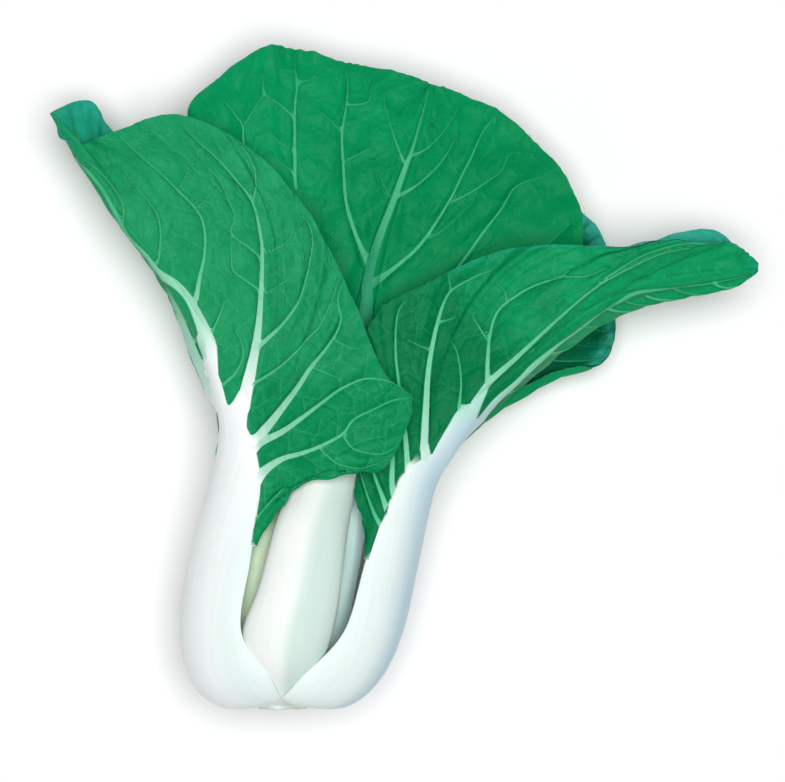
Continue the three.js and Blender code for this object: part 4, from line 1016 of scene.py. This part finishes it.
def margin_detail(leaf, look, to_margin):
    """Small teeth in the sheet's plane, and a ruffle across it, both strongest at the margin"""
    rows, columns = leaf.grid.shape[:2]
    tooth = np.zeros((rows, columns, 3))
    ruffle = np.zeros((rows, columns))
    for side, last, before in ((1, -1, -2), (-1, 0, 1)):
        cols = np.flatnonzero(leaf.side == side)
        edge = leaf.grid[:, last]
        run = np.concatenate([[0], np.cumsum(np.linalg.norm(np.diff(edge, axis=0), axis=1))])
        away = unit(edge - leaf.grid[:, before])
        size = smoothstep(leaf.reach[side], *SHORT_REACH)
        turn = 2 * math.pi * run * MM / look.tooth_length + 2.2 * Waves(*TOOTH_SHIFT)(edge)
        height = look.tooth_height / MM * (0.5 + 0.5 * Waves(*TOOTH_SIZE)(edge)) * np.sin(turn) * size
        v = leaf.v[cols]
        near = 1 - smoothstep(to_margin[:, cols], 0, TOOTH_DEPTH)
        tooth[:, cols] = away[:, None] * (height[:, None] * near)[..., None]
        wave = look.ruffle / MM * size * (Waves(*LONG_RUFFLE)(edge) + 0.5 * Waves(*SHORT_RUFFLE)(edge))
        ruffle[:, cols] = wave[:, None] * v[None, :] ** 3
    ruffle[-1] = 0
    tooth[-1] = 0
    return tooth.reshape(-1, 3), ruffle.ravel()


# Stem: radius and place along the head's axis, from the cut face's middle to its end inside
STEM_PROFILE = (
    (0, -131.6), (3, -131.7), (6, -131.8), (8.6, -131.9), (10.2, -131.7), (10.9, -130.4),
    (11.2, -128), (11.8, -124), (12.4, -119), (10, -114), (5, -111), (0, -110),
)
STEM_SIDES = 96
STEM_FOOT = -132


SLOTS = {
    "front_left": ("outer_stalk", "front_blade"),
    "front_centre": ("outer_stalk", "back_blade"),
    "front_right": ("outer_stalk", "front_blade"),
    "back_right": ("outer_stalk", "back_blade"),
    "back_left": ("outer_stalk", "back_blade"),
    "inner_back": ("inner_stalk", "back_blade"),
    "inner_left": ("inner_stalk", "inner_blade"),
    "inner_right": ("inner_stalk", "inner_blade"),
    "heart_left": ("inner_stalk", "inner_blade"),
    "heart_right": ("inner_stalk", "inner_blade"),
}


def srgb(red, green, blue):
    """A colour given in the 0 to 255 of a screen, as the light values that a shader takes"""
    def light(c):
        c /= 255
        return c / 12.92 if c < 0.04045 else ((c + 0.055) / 1.055) ** 2.4
    return (light(red), light(green), light(blue))


def feed(tree, sockets, values):
    """Gives each socket its value, or a link where the value is another node's socket"""
    for key, value in values.items():
        if isinstance(value, bpy.types.NodeSocket):
            tree.links.new(value, sockets[key])
        else:
            sockets[key].default_value = value


def add(tree, kind, inputs=None, **settings):
    """A shader node with its settings, values and links"""
    node = tree.nodes.new(kind)
    for key, value in settings.items():
        setattr(node, key, value)
    feed(tree, node.inputs, inputs or {})
    return node


def calc(tree, operation, *values, clamp=False):
    node = add(tree, "ShaderNodeMath", dict(enumerate(values)), operation=operation, use_clamp=clamp)
    return node.outputs[0]


def times(tree, first, second):
    return calc(tree, "MULTIPLY", first, second)


def plus(tree, *values):
    """The sum of two or more values"""
    result = values[0]
    for value in values[1:]:
        result = calc(tree, "ADD", result, value)
    return result


def ramp(tree, value, low, high, bottom=0.0, top=1.0):
    """The value's place between low and high, eased, as a number from bottom to top"""
    node = add(tree, "ShaderNodeMapRange", {
        "Value": value, "From Min": low, "From Max": high, "To Min": bottom, "To Max": top,
    }, interpolation_type="SMOOTHSTEP")
    return node.outputs["Result"]


def mix(tree, share, first, second):
    """The second colour laid over the first"""
    node = add(tree, "ShaderNodeMix", data_type="RGBA")
    feed(tree, node.inputs, {0: share, 6: first, 7: second})
    return node.outputs[2]


def noise(tree, place, scale, detail=2.0, roughness=0.5):
    return add(tree, "ShaderNodeTexNoise", {
        "Vector": place, "Scale": scale, "Detail": detail, "Roughness": roughness})


def on_object(tree):
    return add(tree, "ShaderNodeTexCoord").outputs["Object"]


def colour_run(tree, value, stops):
    """A colour that follows the value through stops of (value, colour)"""
    low, high = stops[0][0], stops[-1][0]
    place = add(tree, "ShaderNodeMapRange", {"Value": value, "From Min": low, "From Max": high})
    node = add(tree, "ShaderNodeValToRGB", {0: place.outputs["Result"]})
    marks = node.color_ramp.elements
    while len(marks) < len(stops):
        marks.new(0.5)
    for mark, (at, colour) in zip(marks, stops):
        mark.position = (at - low) / (high - low)
        mark.color = (*colour, 1)
    return node.outputs["Color"]


def value_of(tree, name):
    """A vertex value that build_leaf stored on the mesh"""
    return add(tree, "ShaderNodeAttribute", attribute_name=name).outputs["Fac"]


def group(name, inputs, outputs):
    """A shader node group with its sockets: inputs are (name, kind, default)"""
    tree = bpy.data.node_groups.new(name, "ShaderNodeTree")
    for label, kind, default in inputs:
        socket = tree.interface.new_socket(label, in_out="INPUT", socket_type=f"NodeSocket{kind}")
        socket.default_value = default
    for label, kind in outputs:
        tree.interface.new_socket(label, in_out="OUTPUT", socket_type=f"NodeSocket{kind}")
    start = tree.nodes.new("NodeGroupInput").outputs
    end = tree.nodes.new("NodeGroupOutput").inputs
    return tree, start, end


def use_group(tree, name, make, inputs):
    """The outputs of a shared node group, which is made when it is first used"""
    node = tree.nodes.new("ShaderNodeGroup")
    node.node_tree = bpy.data.node_groups.get(name) or make()
    feed(tree, node.inputs, inputs)
    return node.outputs


def new_material(name):
    material = bpy.data.materials.new(name)
    material.use_nodes = True
    return material, material.node_tree, material.node_tree.nodes["Principled BSDF"]


def dress(tree, shader, colour, roughness, height):
    """Links a skin's colour, roughness and height to its shader"""
    bump = add(tree, "ShaderNodeBump", {"Height": height, "Strength": 1.0, "Distance": MM})
    feed(tree, shader.inputs, {
        "Base Color": colour, "Roughness": roughness, "Normal": bump.outputs["Normal"]})


def full(colours, *names):
    """The named colours of a group, each with a full last channel"""
    return [(*getattr(colours, name), 1) for name in names]


def vein_line_group():
    """How much of a vein a point is in: crisp at its edges, and none where the nearest one changes"""
    tree, start, end = group("vein line", [
        ("Side", "Float", 0.0), ("Half", "Float", 0.3), ("Gap", "Float", 0.0), ("Blur", "Float", 0.2),
        ("Reach", "Float", 1.4),
    ], [("Mask", "Float")])
    distance = calc(tree, "SUBTRACT", calc(tree, "ABSOLUTE", start["Side"]), start["Half"])
    blur = start["Blur"]
    inner_blur = times(tree, blur, -1.0)
    thin = ramp(tree, distance, blur, inner_blur)
    reach = times(tree, start["Reach"], ramp(tree, start["Half"], 0.35, 0.9, 1.0, 0.2))
    near = ramp(tree, start["Gap"], reach, times(tree, reach, 0.5))
    wide = ramp(tree, start["Gap"], blur, inner_blur)
    tree.links.new(calc(tree, "MAXIMUM", times(tree, thin, near), wide), end["Mask"])
    return tree


def blade_group():
    """Colour and height of a blade's skin, from the veins down to the net between them"""
    colours = ("Light", "Dark", "Vein", "Small Vein")
    tree, start, end = group("blade skin", [
        *[(label, "Color", (0.1, 0.5, 0.2, 1)) for label in colours],
        ("Veins", "Float", 0.0), ("Gap", "Float", 5.0), ("Small Veins", "Float", 0.0),
        ("Small Gap", "Float", 5.0), ("Painted Shade", "Float", 0.0), ("Net Cell", "Float", 2.4),
        ("Net", "Float", 0.2),
        ("Mottle", "Float", 0.5),
    ], [("Color", "Color"), ("Height", "Float")])
    place = on_object(tree)
    broad = noise(tree, place, 38.0, 3.0).outputs["Fac"]
    fine = noise(tree, place, 420.0, 5.0, 0.6)
    shift = add(tree, "ShaderNodeVectorMath", {
        0: fine.outputs["Color"], 1: (0.0009, 0.0009, 0.0009)}, operation="MULTIPLY").outputs[0]
    bent = add(tree, "ShaderNodeVectorMath", {0: place, 1: shift}, operation="ADD").outputs[0]
    fine = fine.outputs["Fac"]
    cells = add(tree, "ShaderNodeTexVoronoi", {
        "Vector": bent, "Scale": calc(tree, "DIVIDE", 1000.0, start["Net Cell"])},
        feature="DISTANCE_TO_EDGE").outputs["Distance"]
    threads = ramp(tree, cells, 0.09, 0.02)
    patches = times(tree, ramp(tree, broad, 0.36, 0.64), start["Mottle"])
    grain = times(tree, ramp(tree, fine, 0.3, 0.7), 0.35)
    # the painted shade where leaves overlap darkens the blade together with its random patches and grain
    dark = calc(tree, "ADD", plus(tree, patches, grain), start["Painted Shade"], clamp=True)
    # painted shadow: the green darkens along both sides of every vein and small vein, as if the raised
    # veins cast shade
    vein_shadow = calc(tree, "MAXIMUM", ramp(tree, start["Gap"], 1.5, 0.2, 0.0, 0.6),
                  ramp(tree, start["Small Gap"], 0.9, 0.1, 0.0, 0.4))
    base = mix(tree, calc(tree, "MAXIMUM", dark, vein_shadow), start["Light"], start["Dark"])
    base = mix(tree, times(tree, threads, start["Net"]), base, start["Small Vein"])
    base = mix(tree, start["Small Veins"], base, start["Small Vein"])
    base = mix(tree, start["Veins"], base, start["Vein"])
    tree.links.new(base, end["Color"])
    height = plus(
        tree, times(tree, ramp(tree, cells, 0.0, 0.3), -0.06),
        times(tree, ramp(tree, start["Small Gap"], 0.0, 1.6), -0.22),
        times(tree, fine, 0.10), times(tree, start["Small Veins"], 0.20),
        times(tree, start["Veins"], 0.30))
    tree.links.new(height, end["Height"])
    return tree


def stalk_group():
    """Colour and height of a stalk's skin, with threads that run its length"""
    tree, start, end = group("stalk skin", [
        ("Skin", "Color", (1, 1, 1, 1)), ("Shade", "Color", (1, 1, 1, 1)),
        ("Side Shade Colour", "Color", (1, 1, 1, 1)),
        ("Across", "Float", 0.0), ("Along", "Float", 0.0), ("Side Shade", "Float", 0.0),
        ("Threads", "Float", 0.3),
    ], [("Color", "Color"), ("Height", "Float")])
    place = add(tree, "ShaderNodeCombineXYZ", {
        0: start["Across"], 1: times(tree, start["Along"], 0.035)}).outputs[0]
    ribs = noise(tree, place, 0.32).outputs["Fac"]
    threads = noise(tree, place, 1.5, 3.0, 0.6).outputs["Fac"]
    cloud = noise(tree, on_object(tree), 45.0, 3.0).outputs["Fac"]
    share = plus(
        tree, times(tree, ramp(tree, threads, 0.42, 0.68), 0.45),
        times(tree, ramp(tree, ribs, 0.4, 0.7), 0.35),
        times(tree, ramp(tree, cloud, 0.4, 0.65), 0.35))
    share = calc(tree, "MULTIPLY", share, start["Threads"], clamp=True)
    # painted shade: one side of the stalk takes the darker, bluer side colour
    skin = mix(tree, start["Side Shade"], start["Skin"], start["Side Shade Colour"])
    tree.links.new(mix(tree, share, skin, start["Shade"]), end["Color"])
    tree.links.new(plus(tree, times(tree, threads, 0.06), times(tree, ribs, 0.35)), end["Height"])
    return tree


def vein_mask(tree, kind, blur):
    """How much of a vein of one kind a point is in"""
    return use_group(tree, "vein line", vein_line_group, {
        "Side": value_of(tree, f"{kind}_side"), "Half": value_of(tree, f"{kind}_half"),
        "Gap": value_of(tree, f"{kind}_gap"), "Blur": blur, "Reach": 0.95})["Mask"]


def skin_material(name, colours, finish):
    """One leaf skin: stalk, veins and blade in one material, so that its pieces meet without a seam"""
    material, tree, shader = new_material(name)
    veins = vein_mask(tree, "vein", 0.22)
    small = vein_mask(tree, "small", 0.18)
    half = value_of(tree, "vein_half")
    uneven = noise(tree, on_object(tree), 260.0).outputs["Fac"]
    lap = plus(tree, value_of(tree, "stalk_gap"), times(tree, uneven, 1.6))
    in_stalk = times(tree, value_of(tree, "white"), ramp(tree, lap, *finish["lap"]))
    in_stalk = calc(tree, "MAXIMUM", in_stalk, times(
        tree, veins, ramp(tree, half, *finish["white_width"])))
    skin, shade, side_shade_colour = full(colours, "stalk", "stalk_shade", "stalk_side")
    stalk = use_group(tree, "stalk skin", stalk_group, {
        "Skin": skin, "Shade": shade, "Side Shade Colour": side_shade_colour, "Across": value_of(tree, "across"),
        "Along": value_of(tree, "along"), "Side Shade": value_of(tree, "painted_side_shade"), "Threads": 0.32})
    to_margin = value_of(tree, "to_margin")
    same = {
        "Vein": colour_run(tree, half, finish["veins"]), "Small Vein": (*finish["veins"][0][1], 1),
        "Veins": times(tree, veins, ramp(tree, half, 0.1, 0.6, 0.6, 1.0)),
        "Gap": value_of(tree, "vein_gap"), "Small Gap": value_of(tree, "small_gap"),
        "Small Veins": times(tree, small, finish["small_strength"]),
        "Painted Shade": value_of(tree, "painted_shade"), "Net": finish["net"], "Net Cell": 2.3,
        "Mottle": finish["mottle"]}
    faces = {}
    for face, rim_run in (("outer", (4.5, 0.8, 0.0, 0.8)), ("inner", (9.0, 2.0))):
        light, dark, rim = full(colours, f"{face}_light", f"{face}_dark", f"{face}_rim")
        light = mix(tree, ramp(tree, to_margin, *rim_run), light, rim)
        faces[face] = use_group(tree, "blade skin", blade_group, {"Light": light, "Dark": dark, **same})
    turned = times(tree, value_of(tree, "inner_face"), ramp(
        tree, value_of(tree, "share"), *finish["turned"]))
    blade = mix(tree, turned, faces["outer"]["Color"], faces["inner"]["Color"])
    height = add(tree, "ShaderNodeMix", {
        0: in_stalk, 2: faces["outer"]["Height"], 3: stalk["Height"]}).outputs[0]
    dress(tree, shader, mix(tree, in_stalk, blade, stalk["Color"]),
          ramp(tree, in_stalk, 0, 1, 0.5, 0.36), height)
    feed(tree, shader.inputs, {
        "Specular IOR Level": 0.07, "Subsurface Weight": 0.08,
        "Subsurface Radius": (1.0, 1.2, 0.9), "Subsurface Scale": 0.003})
    return material


def plain(name, colour, roughness):
    """A material of one colour"""
    material, tree, shader = new_material(name)
    feed(tree, shader.inputs, {"Base Color": (*colour, 1), "Roughness": roughness})
    return material


FINISH_OF = {"front_left": "left", "front_right": "right", "back_blade": "back", "inner_blade": "inner"}

# Colour of a vein by its half width in millimetres
FRONT_VEIN_RUN = (
    (0.1, srgb(56, 172, 116)), (0.65, srgb(76, 188, 136)), (0.9, srgb(112, 205, 160)),
    (1.3, srgb(148, 218, 186)), (2.0, srgb(178, 228, 206)), (3.0, srgb(208, 240, 227)),
    (4.5, srgb(240, 249, 246)),
)
# on the front centre leaf and the back leaves the widest veins, low on the midrib, are coloured darker:
# painted shade
BACK_VEIN_RUN = (
    (0.1, srgb(20, 150, 96)), (0.4, srgb(50, 170, 118)), (0.9, srgb(76, 184, 132)),
    (1.4, srgb(62, 168, 120)), (1.9, srgb(40, 148, 104)), (4.0, srgb(34, 142, 98)),
)
FINISHES = {
    "left": dict(veins=FRONT_VEIN_RUN, lap=(1.4, 0.6), turned=(0.55, 0.65), white_width=(1.6, 2.9),
                 small_strength=0.42, net=0.05, mottle=0.35),
    "right": dict(veins=FRONT_VEIN_RUN, lap=(1.0, 0.2), turned=(-2.0, -1.0), white_width=(1.1, 2.3),
                  small_strength=0.16, net=0.03, mottle=0.35),
    "back": dict(veins=BACK_VEIN_RUN, lap=(0.6, 0.0), turned=(-2.0, -1.0), white_width=(9.0, 12.0),
                 small_strength=0.45, net=0.04, mottle=0.4),
    "inner": dict(veins=FRONT_VEIN_RUN, lap=(0.6, 0.0), turned=(-2.0, -1.0), white_width=(2.2, 4.2),
                  small_strength=0.4, net=0.1, mottle=0.5),
}


def stem_material(colours):
    """Cut face with a ring of paler bundles and a dried rim, and pale sides"""
    material, tree, shader = new_material("cut stem")
    place = on_object(tree)
    grain = noise(tree, place, 900.0, 6.0, 0.65).outputs["Fac"]
    blotch = noise(tree, place, 160.0, 3.0).outputs["Fac"]
    spots = add(tree, "ShaderNodeTexVoronoi", {"Vector": place, "Scale": 620.0}).outputs["Distance"]
    radius = plus(tree, value_of(tree, "radius"), times(tree, blotch, 2.2))
    in_ring = times(tree, ramp(tree, radius, 5.4, 6.4), ramp(tree, radius, 9.4, 8.2))
    in_bundle = times(tree, in_ring, ramp(tree, spots, 0.45, 0.15))
    cut_face, face_grain, ring, bundles, rim, skin, shade = full(
        colours, "face", "face_grain", "ring", "bundles", "rim", "skin", "skin_shade")
    face = mix(tree, ramp(tree, grain, 0.35, 0.65), cut_face, face_grain)
    face = mix(tree, times(tree, in_ring, 0.5), face, ring)
    face = mix(tree, times(tree, in_bundle, 0.7), face, bundles)
    face = mix(tree, times(tree, ramp(tree, radius, 10.2, 11.6), 0.7), face, rim)
    skin = mix(tree, ramp(tree, blotch, 0.4, 0.65), skin, shade)
    side = plus(tree, value_of(tree, "height"), times(tree, grain, 0.4))
    side = ramp(tree, side, -131.5, -131.0)
    dress(tree, shader, mix(tree, side, face, skin), ramp(tree, side, 0, 1, 0.75, 0.45),
          plus(tree, times(tree, grain, 0.35), times(tree, in_bundle, 0.25)))
    shader.inputs["Specular IOR Level"].default_value = 0.2
    return material


def make_leaves(scene, names):
    """Both pieces of each named leaf, with their material"""
    for name in names:
        pieces = build_leaf(name, scene.bok_choy_leaf)
        slots = SLOTS[name]
        finish = FINISH_OF.get(name) or FINISH_OF[slots[1]]
        material = bpy.data.materials.get(f"{finish} leaf") or skin_material(
            f"{finish} leaf", getattr(scene, f"bok_choy_{finish}"), FINISHES[finish])
        for slot, piece in zip(slots, pieces.values()):
            piece.data.materials.append(material)


# Lamps: name, place in metres, size in metres, which power, its share of that power, colour
LAMPS = (
    ("overhead", (0.14, 0.05, 3.2), 2.1, "overhead_power", 1, (1, 1, 1)),
    ("left side", (-2.1, 0.2, 0.42), 1.6, "side_power", 0.42, (1, 1, 1)),
    ("front side", (-0.5, -2.1, 0.42), 1.6, "side_power", 0.4, (0.94, 0.98, 1)),
    ("right side", (2.1, -0.2, 0.42), 1.6, "side_power", 0.3, (0.82, 0.94, 1)),
)


def size(name, description, default, low, high):
    """A length that a user can change, given here in millimetres"""
    return bpy.props.FloatProperty(
        name=name, description=description, default=default * MM, min=low * MM, max=high * MM,
        unit="LENGTH", precision=5)


def colour(name, description, red, green, blue):
    """A colour that a user can change, given here in the 0 to 255 of a screen"""
    return bpy.props.FloatVectorProperty(
        name=name, description=description, default=srgb(red, green, blue), size=3, min=0, max=1,
        subtype="COLOR")


class LeafShape(bpy.types.PropertyGroup):
    """Sizes that all leaves share, and the cut stem's"""

    blade_thickness: size("Blade thickness", "Thickness of a blade at its margin", 0.7, 0.3, 2)
    vein_relief: size("Vein relief", "How far veins stand out of a blade", 0.65, 0, 2)
    pucker: size("Pucker", "Unevenness of a blade between its veins", 0.4, 0, 3)
    pillow: size("Pillow", "How far a blade sinks between its veins", 0.55, 0, 3)
    tooth_length: size("Tooth length", "Distance between a margin's small teeth", 4.5, 2, 20)
    tooth_height: size("Tooth height", "How far a margin's small teeth reach", 0.22, 0, 3)
    ruffle: size("Ruffle", "Height of the waves in a margin", 0.8, 0, 4)
    stem_roughness: size("Stem unevenness", "Unevenness of the cut stem", 0.25, 0, 2)


# Colours of a leaf's skin: name, label and what it colours
SKIN_COLOURS = (
    ("stalk", "Stalk", "Skin of the stalk"),
    ("stalk_shade", "Stalk streaks", "Streaks along the stalk"),
    # the stalk side colour is painted shade on the side of the stalk that the light misses
    ("stalk_side", "Stalk side", "The stalk's cooler side"),
    ("outer_light", "Outer green", "Outer face of the blade"),
    # the deep greens colour darker patches, and also the painted shade where leaves overlap and the
    # painted shadow beside veins
    ("outer_dark", "Deep outer green", "Darker patches of the outer face"),
    ("outer_rim", "Outer margin", "Outer face along the margin"),
    ("inner_light", "Inner green", "Inner face of the blade"),
    ("inner_dark", "Deep inner green", "Darker patches of the inner face"),
    ("inner_rim", "Inner margin", "Inner face along the margin"),
)


def skin_colours(name, words, *values):
    """A property group with all the colours of a leaf's skin"""
    fields = {field: colour(label, what, *value)
              for (field, label, what), value in zip(SKIN_COLOURS, values)}
    return type(name, (bpy.types.PropertyGroup,), {"__doc__": words, "__annotations__": fields})


LeftFinish = skin_colours(
    "LeftFinish", "Colours of the front left leaf",
    (248, 254, 253), (232, 244, 241), (208, 230, 224), (36, 160, 104), (2, 134, 80),
    (34, 158, 108), (24, 152, 122), (6, 132, 100), (44, 168, 146))
# the stalk colours are a little darker than the front left leaf's: painted shade on the leaf away from the
# light
RightFinish = skin_colours(
    "RightFinish", "Colours of the front right leaf",
    (236, 247, 244), (214, 234, 229), (192, 219, 230), (10, 157, 97), (0, 118, 68),
    (30, 166, 130), (24, 152, 122), (6, 132, 100), (62, 186, 166))
# the inner greens are darker than the front leaves': partly the inner face's own deeper green, partly
# painted shade where the back leaves lie under the front ones
BackFinish = skin_colours(
    "BackFinish", "Colours of the front centre leaf and the leaves behind it",
    (246, 250, 246), (228, 240, 234), (204, 227, 218), (2, 151, 93), (0, 134, 78),
    (4, 146, 90), (8, 118, 80), (0, 84, 52), (66, 202, 182))
InnerFinish = skin_colours(
    "InnerFinish", "Colours of the small leaves inside the head",
    (198, 218, 188), (160, 188, 152), (216, 242, 240), (60, 165, 85), (24, 128, 60),
    (60, 160, 90), (50, 148, 88), (26, 110, 60), (60, 160, 100))


class StemFinish(bpy.types.PropertyGroup):
    """Colours of the cut stem"""

    face: colour("Cut face", "Cut face of the stem", 226, 222, 190)
    face_grain: colour("Face grain", "Grain of the cut face", 206, 205, 164)
    ring: colour("Ring", "Ring in the cut face", 190, 200, 150)
    bundles: colour("Bundles", "Pale bundles in the ring", 240, 240, 216)
    rim: colour("Dried rim", "Rim of the cut face", 214, 212, 186)
    skin: colour("Skin", "Side of the stem", 232, 241, 238)
    skin_shade: colour("Skin shade", "Shaded patches of the stem's side", 212, 226, 216)


class StageLook(bpy.types.PropertyGroup):
    """Camera, floor and lights"""

    camera_height: size("Camera height", "Height of the camera over the floor", CAMERA_Z, 500, 6000)
    camera_lens: bpy.props.FloatProperty(
        name="Lens", description="Focal length of the camera", default=CAMERA_LENS, min=20, max=600,
        unit="CAMERA")
    floor: colour("Floor", "Colour of the floor", 250, 250, 250)
    overhead_power: bpy.props.FloatProperty(
        name="Overhead light", description="Power of the large light over the head", default=112,
        min=0, max=2000, unit="POWER")
    side_power: bpy.props.FloatProperty(
        name="Side lights", description="Power that the three low side lights share", default=10,
        min=0, max=500, unit="POWER")
    room_light: bpy.props.FloatProperty(
        name="Room light", description="Strength of the light from all round", default=0.03,
        min=0, max=1, subtype="FACTOR")


FLOOR_SIZE = 6                  # metres
FLOOR_ROUGHNESS = 0.9
LAMP_AIM = Vector((0, 0, 0.04))
ROOM_TINT = (0.88, 0.95, 1, 1)


class BOKCHOY_OT_stem(bpy.types.Operator):
    """Add the cut stem"""

    bl_idname = "bokchoy.stem"
    bl_label = "Cut Stem"

    def execute(self, context):
        piece = build_stem(context.scene.bok_choy_leaf)
        piece.data.materials.append(stem_material(context.scene.bok_choy_stem))
        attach(piece, "root")
        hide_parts("stem_base")
        return {"FINISHED"}


class BOKCHOY_OT_front_leaves(bpy.types.Operator):
    """Add the three front leaves"""

    bl_idname = "bokchoy.front_leaves"
    bl_label = "Front Leaves"

    def execute(self, context):
        make_leaves(context.scene, ("front_left", "front_centre", "front_right"))
        return {"FINISHED"}


class BOKCHOY_OT_back_leaves(bpy.types.Operator):
    """Add the leaves that the head lies on"""

    bl_idname = "bokchoy.back_leaves"
    bl_label = "Back Leaves"

    def execute(self, context):
        make_leaves(context.scene, ("back_right", "back_left", "inner_back"))
        return {"FINISHED"}


class BOKCHOY_OT_inner_leaves(bpy.types.Operator):
    """Add the small leaves inside the head"""

    bl_idname = "bokchoy.inner_leaves"
    bl_label = "Inner Leaves"

    def execute(self, context):
        make_leaves(context.scene,
                    ("inner_left", "inner_right", "heart_left", "heart_right"))
        return {"FINISHED"}


class BOKCHOY_OT_stage(bpy.types.Operator):
    """Add the floor, the lights and the camera"""

    bl_idname = "bokchoy.stage"
    bl_label = "Stage"

    def execute(self, context):
        look = context.scene.bok_choy_stage
        camera = bpy.data.cameras.new("camera")
        camera.lens = look.camera_lens
        camera.sensor_width = 36
        camera.clip_end = 20
        holder = bpy.data.objects.new("camera", camera)
        holder.location = (CAMERA_X * MM, CAMERA_Y * MM, look.camera_height)
        context.collection.objects.link(holder)
        context.scene.camera = holder
        bpy.ops.mesh.primitive_plane_add(size=FLOOR_SIZE)
        floor = context.object
        floor.name = "floor"
        floor.data.materials.append(plain("floor", look.floor, FLOOR_ROUGHNESS))
        for name, place, width, power, part, tint in LAMPS:
            light = bpy.data.lights.new(name, "AREA")
            light.shape = "DISK"
            light.size = width
            light.energy = getattr(look, power) * part
            light.color = tint
            lamp = bpy.data.objects.new(name, light)
            lamp.location = place
            aim = LAMP_AIM - lamp.location
            lamp.rotation_euler = aim.to_track_quat("-Z", "Y").to_euler()
            context.collection.objects.link(lamp)
        world = bpy.data.worlds.new("studio")
        world.use_nodes = True
        room = world.node_tree.nodes["Background"].inputs
        room["Color"].default_value = ROOM_TINT
        room["Strength"].default_value = look.room_light
        context.scene.world = world
        context.scene.view_settings.view_transform = "Standard"
        return {"FINISHED"}


class BOKCHOY_PT_panel(bpy.types.Panel):
    """Lists the pieces of the head"""

    bl_label = "Bok Choy"
    bl_idname = "BOKCHOY_PT_panel"
    bl_space_type = "VIEW_3D"
    bl_region_type = "UI"
    bl_category = "Bok Choy"

    def draw(self, context):
        for name in STEPS:
            self.layout.operator(f"bokchoy.{name}")


STEPS = ("stem", "front_leaves", "back_leaves", "inner_leaves", "stage")
GROUPS = {
    "bok_choy_leaf": LeafShape, "bok_choy_left": LeftFinish, "bok_choy_right": RightFinish,
    "bok_choy_back": BackFinish, "bok_choy_inner": InnerFinish, "bok_choy_stem": StemFinish,
    "bok_choy_stage": StageLook,
}
CLASSES = (
    *GROUPS.values(), BOKCHOY_OT_stem, BOKCHOY_OT_front_leaves, BOKCHOY_OT_back_leaves,
    BOKCHOY_OT_inner_leaves, BOKCHOY_OT_stage, BOKCHOY_PT_panel,
)


def register():
    for cls in CLASSES:
        bpy.utils.register_class(cls)
    for name, cls in GROUPS.items():
        setattr(bpy.types.Scene, name, bpy.props.PointerProperty(type=cls))


def unregister():
    for name in GROUPS:
        delattr(bpy.types.Scene, name)
    for cls in reversed(CLASSES):
        bpy.utils.unregister_class(cls)


def main():
    register()
    for name in STEPS:
        getattr(bpy.ops.bokchoy, name)()


if __name__ == "__main__":
    main()
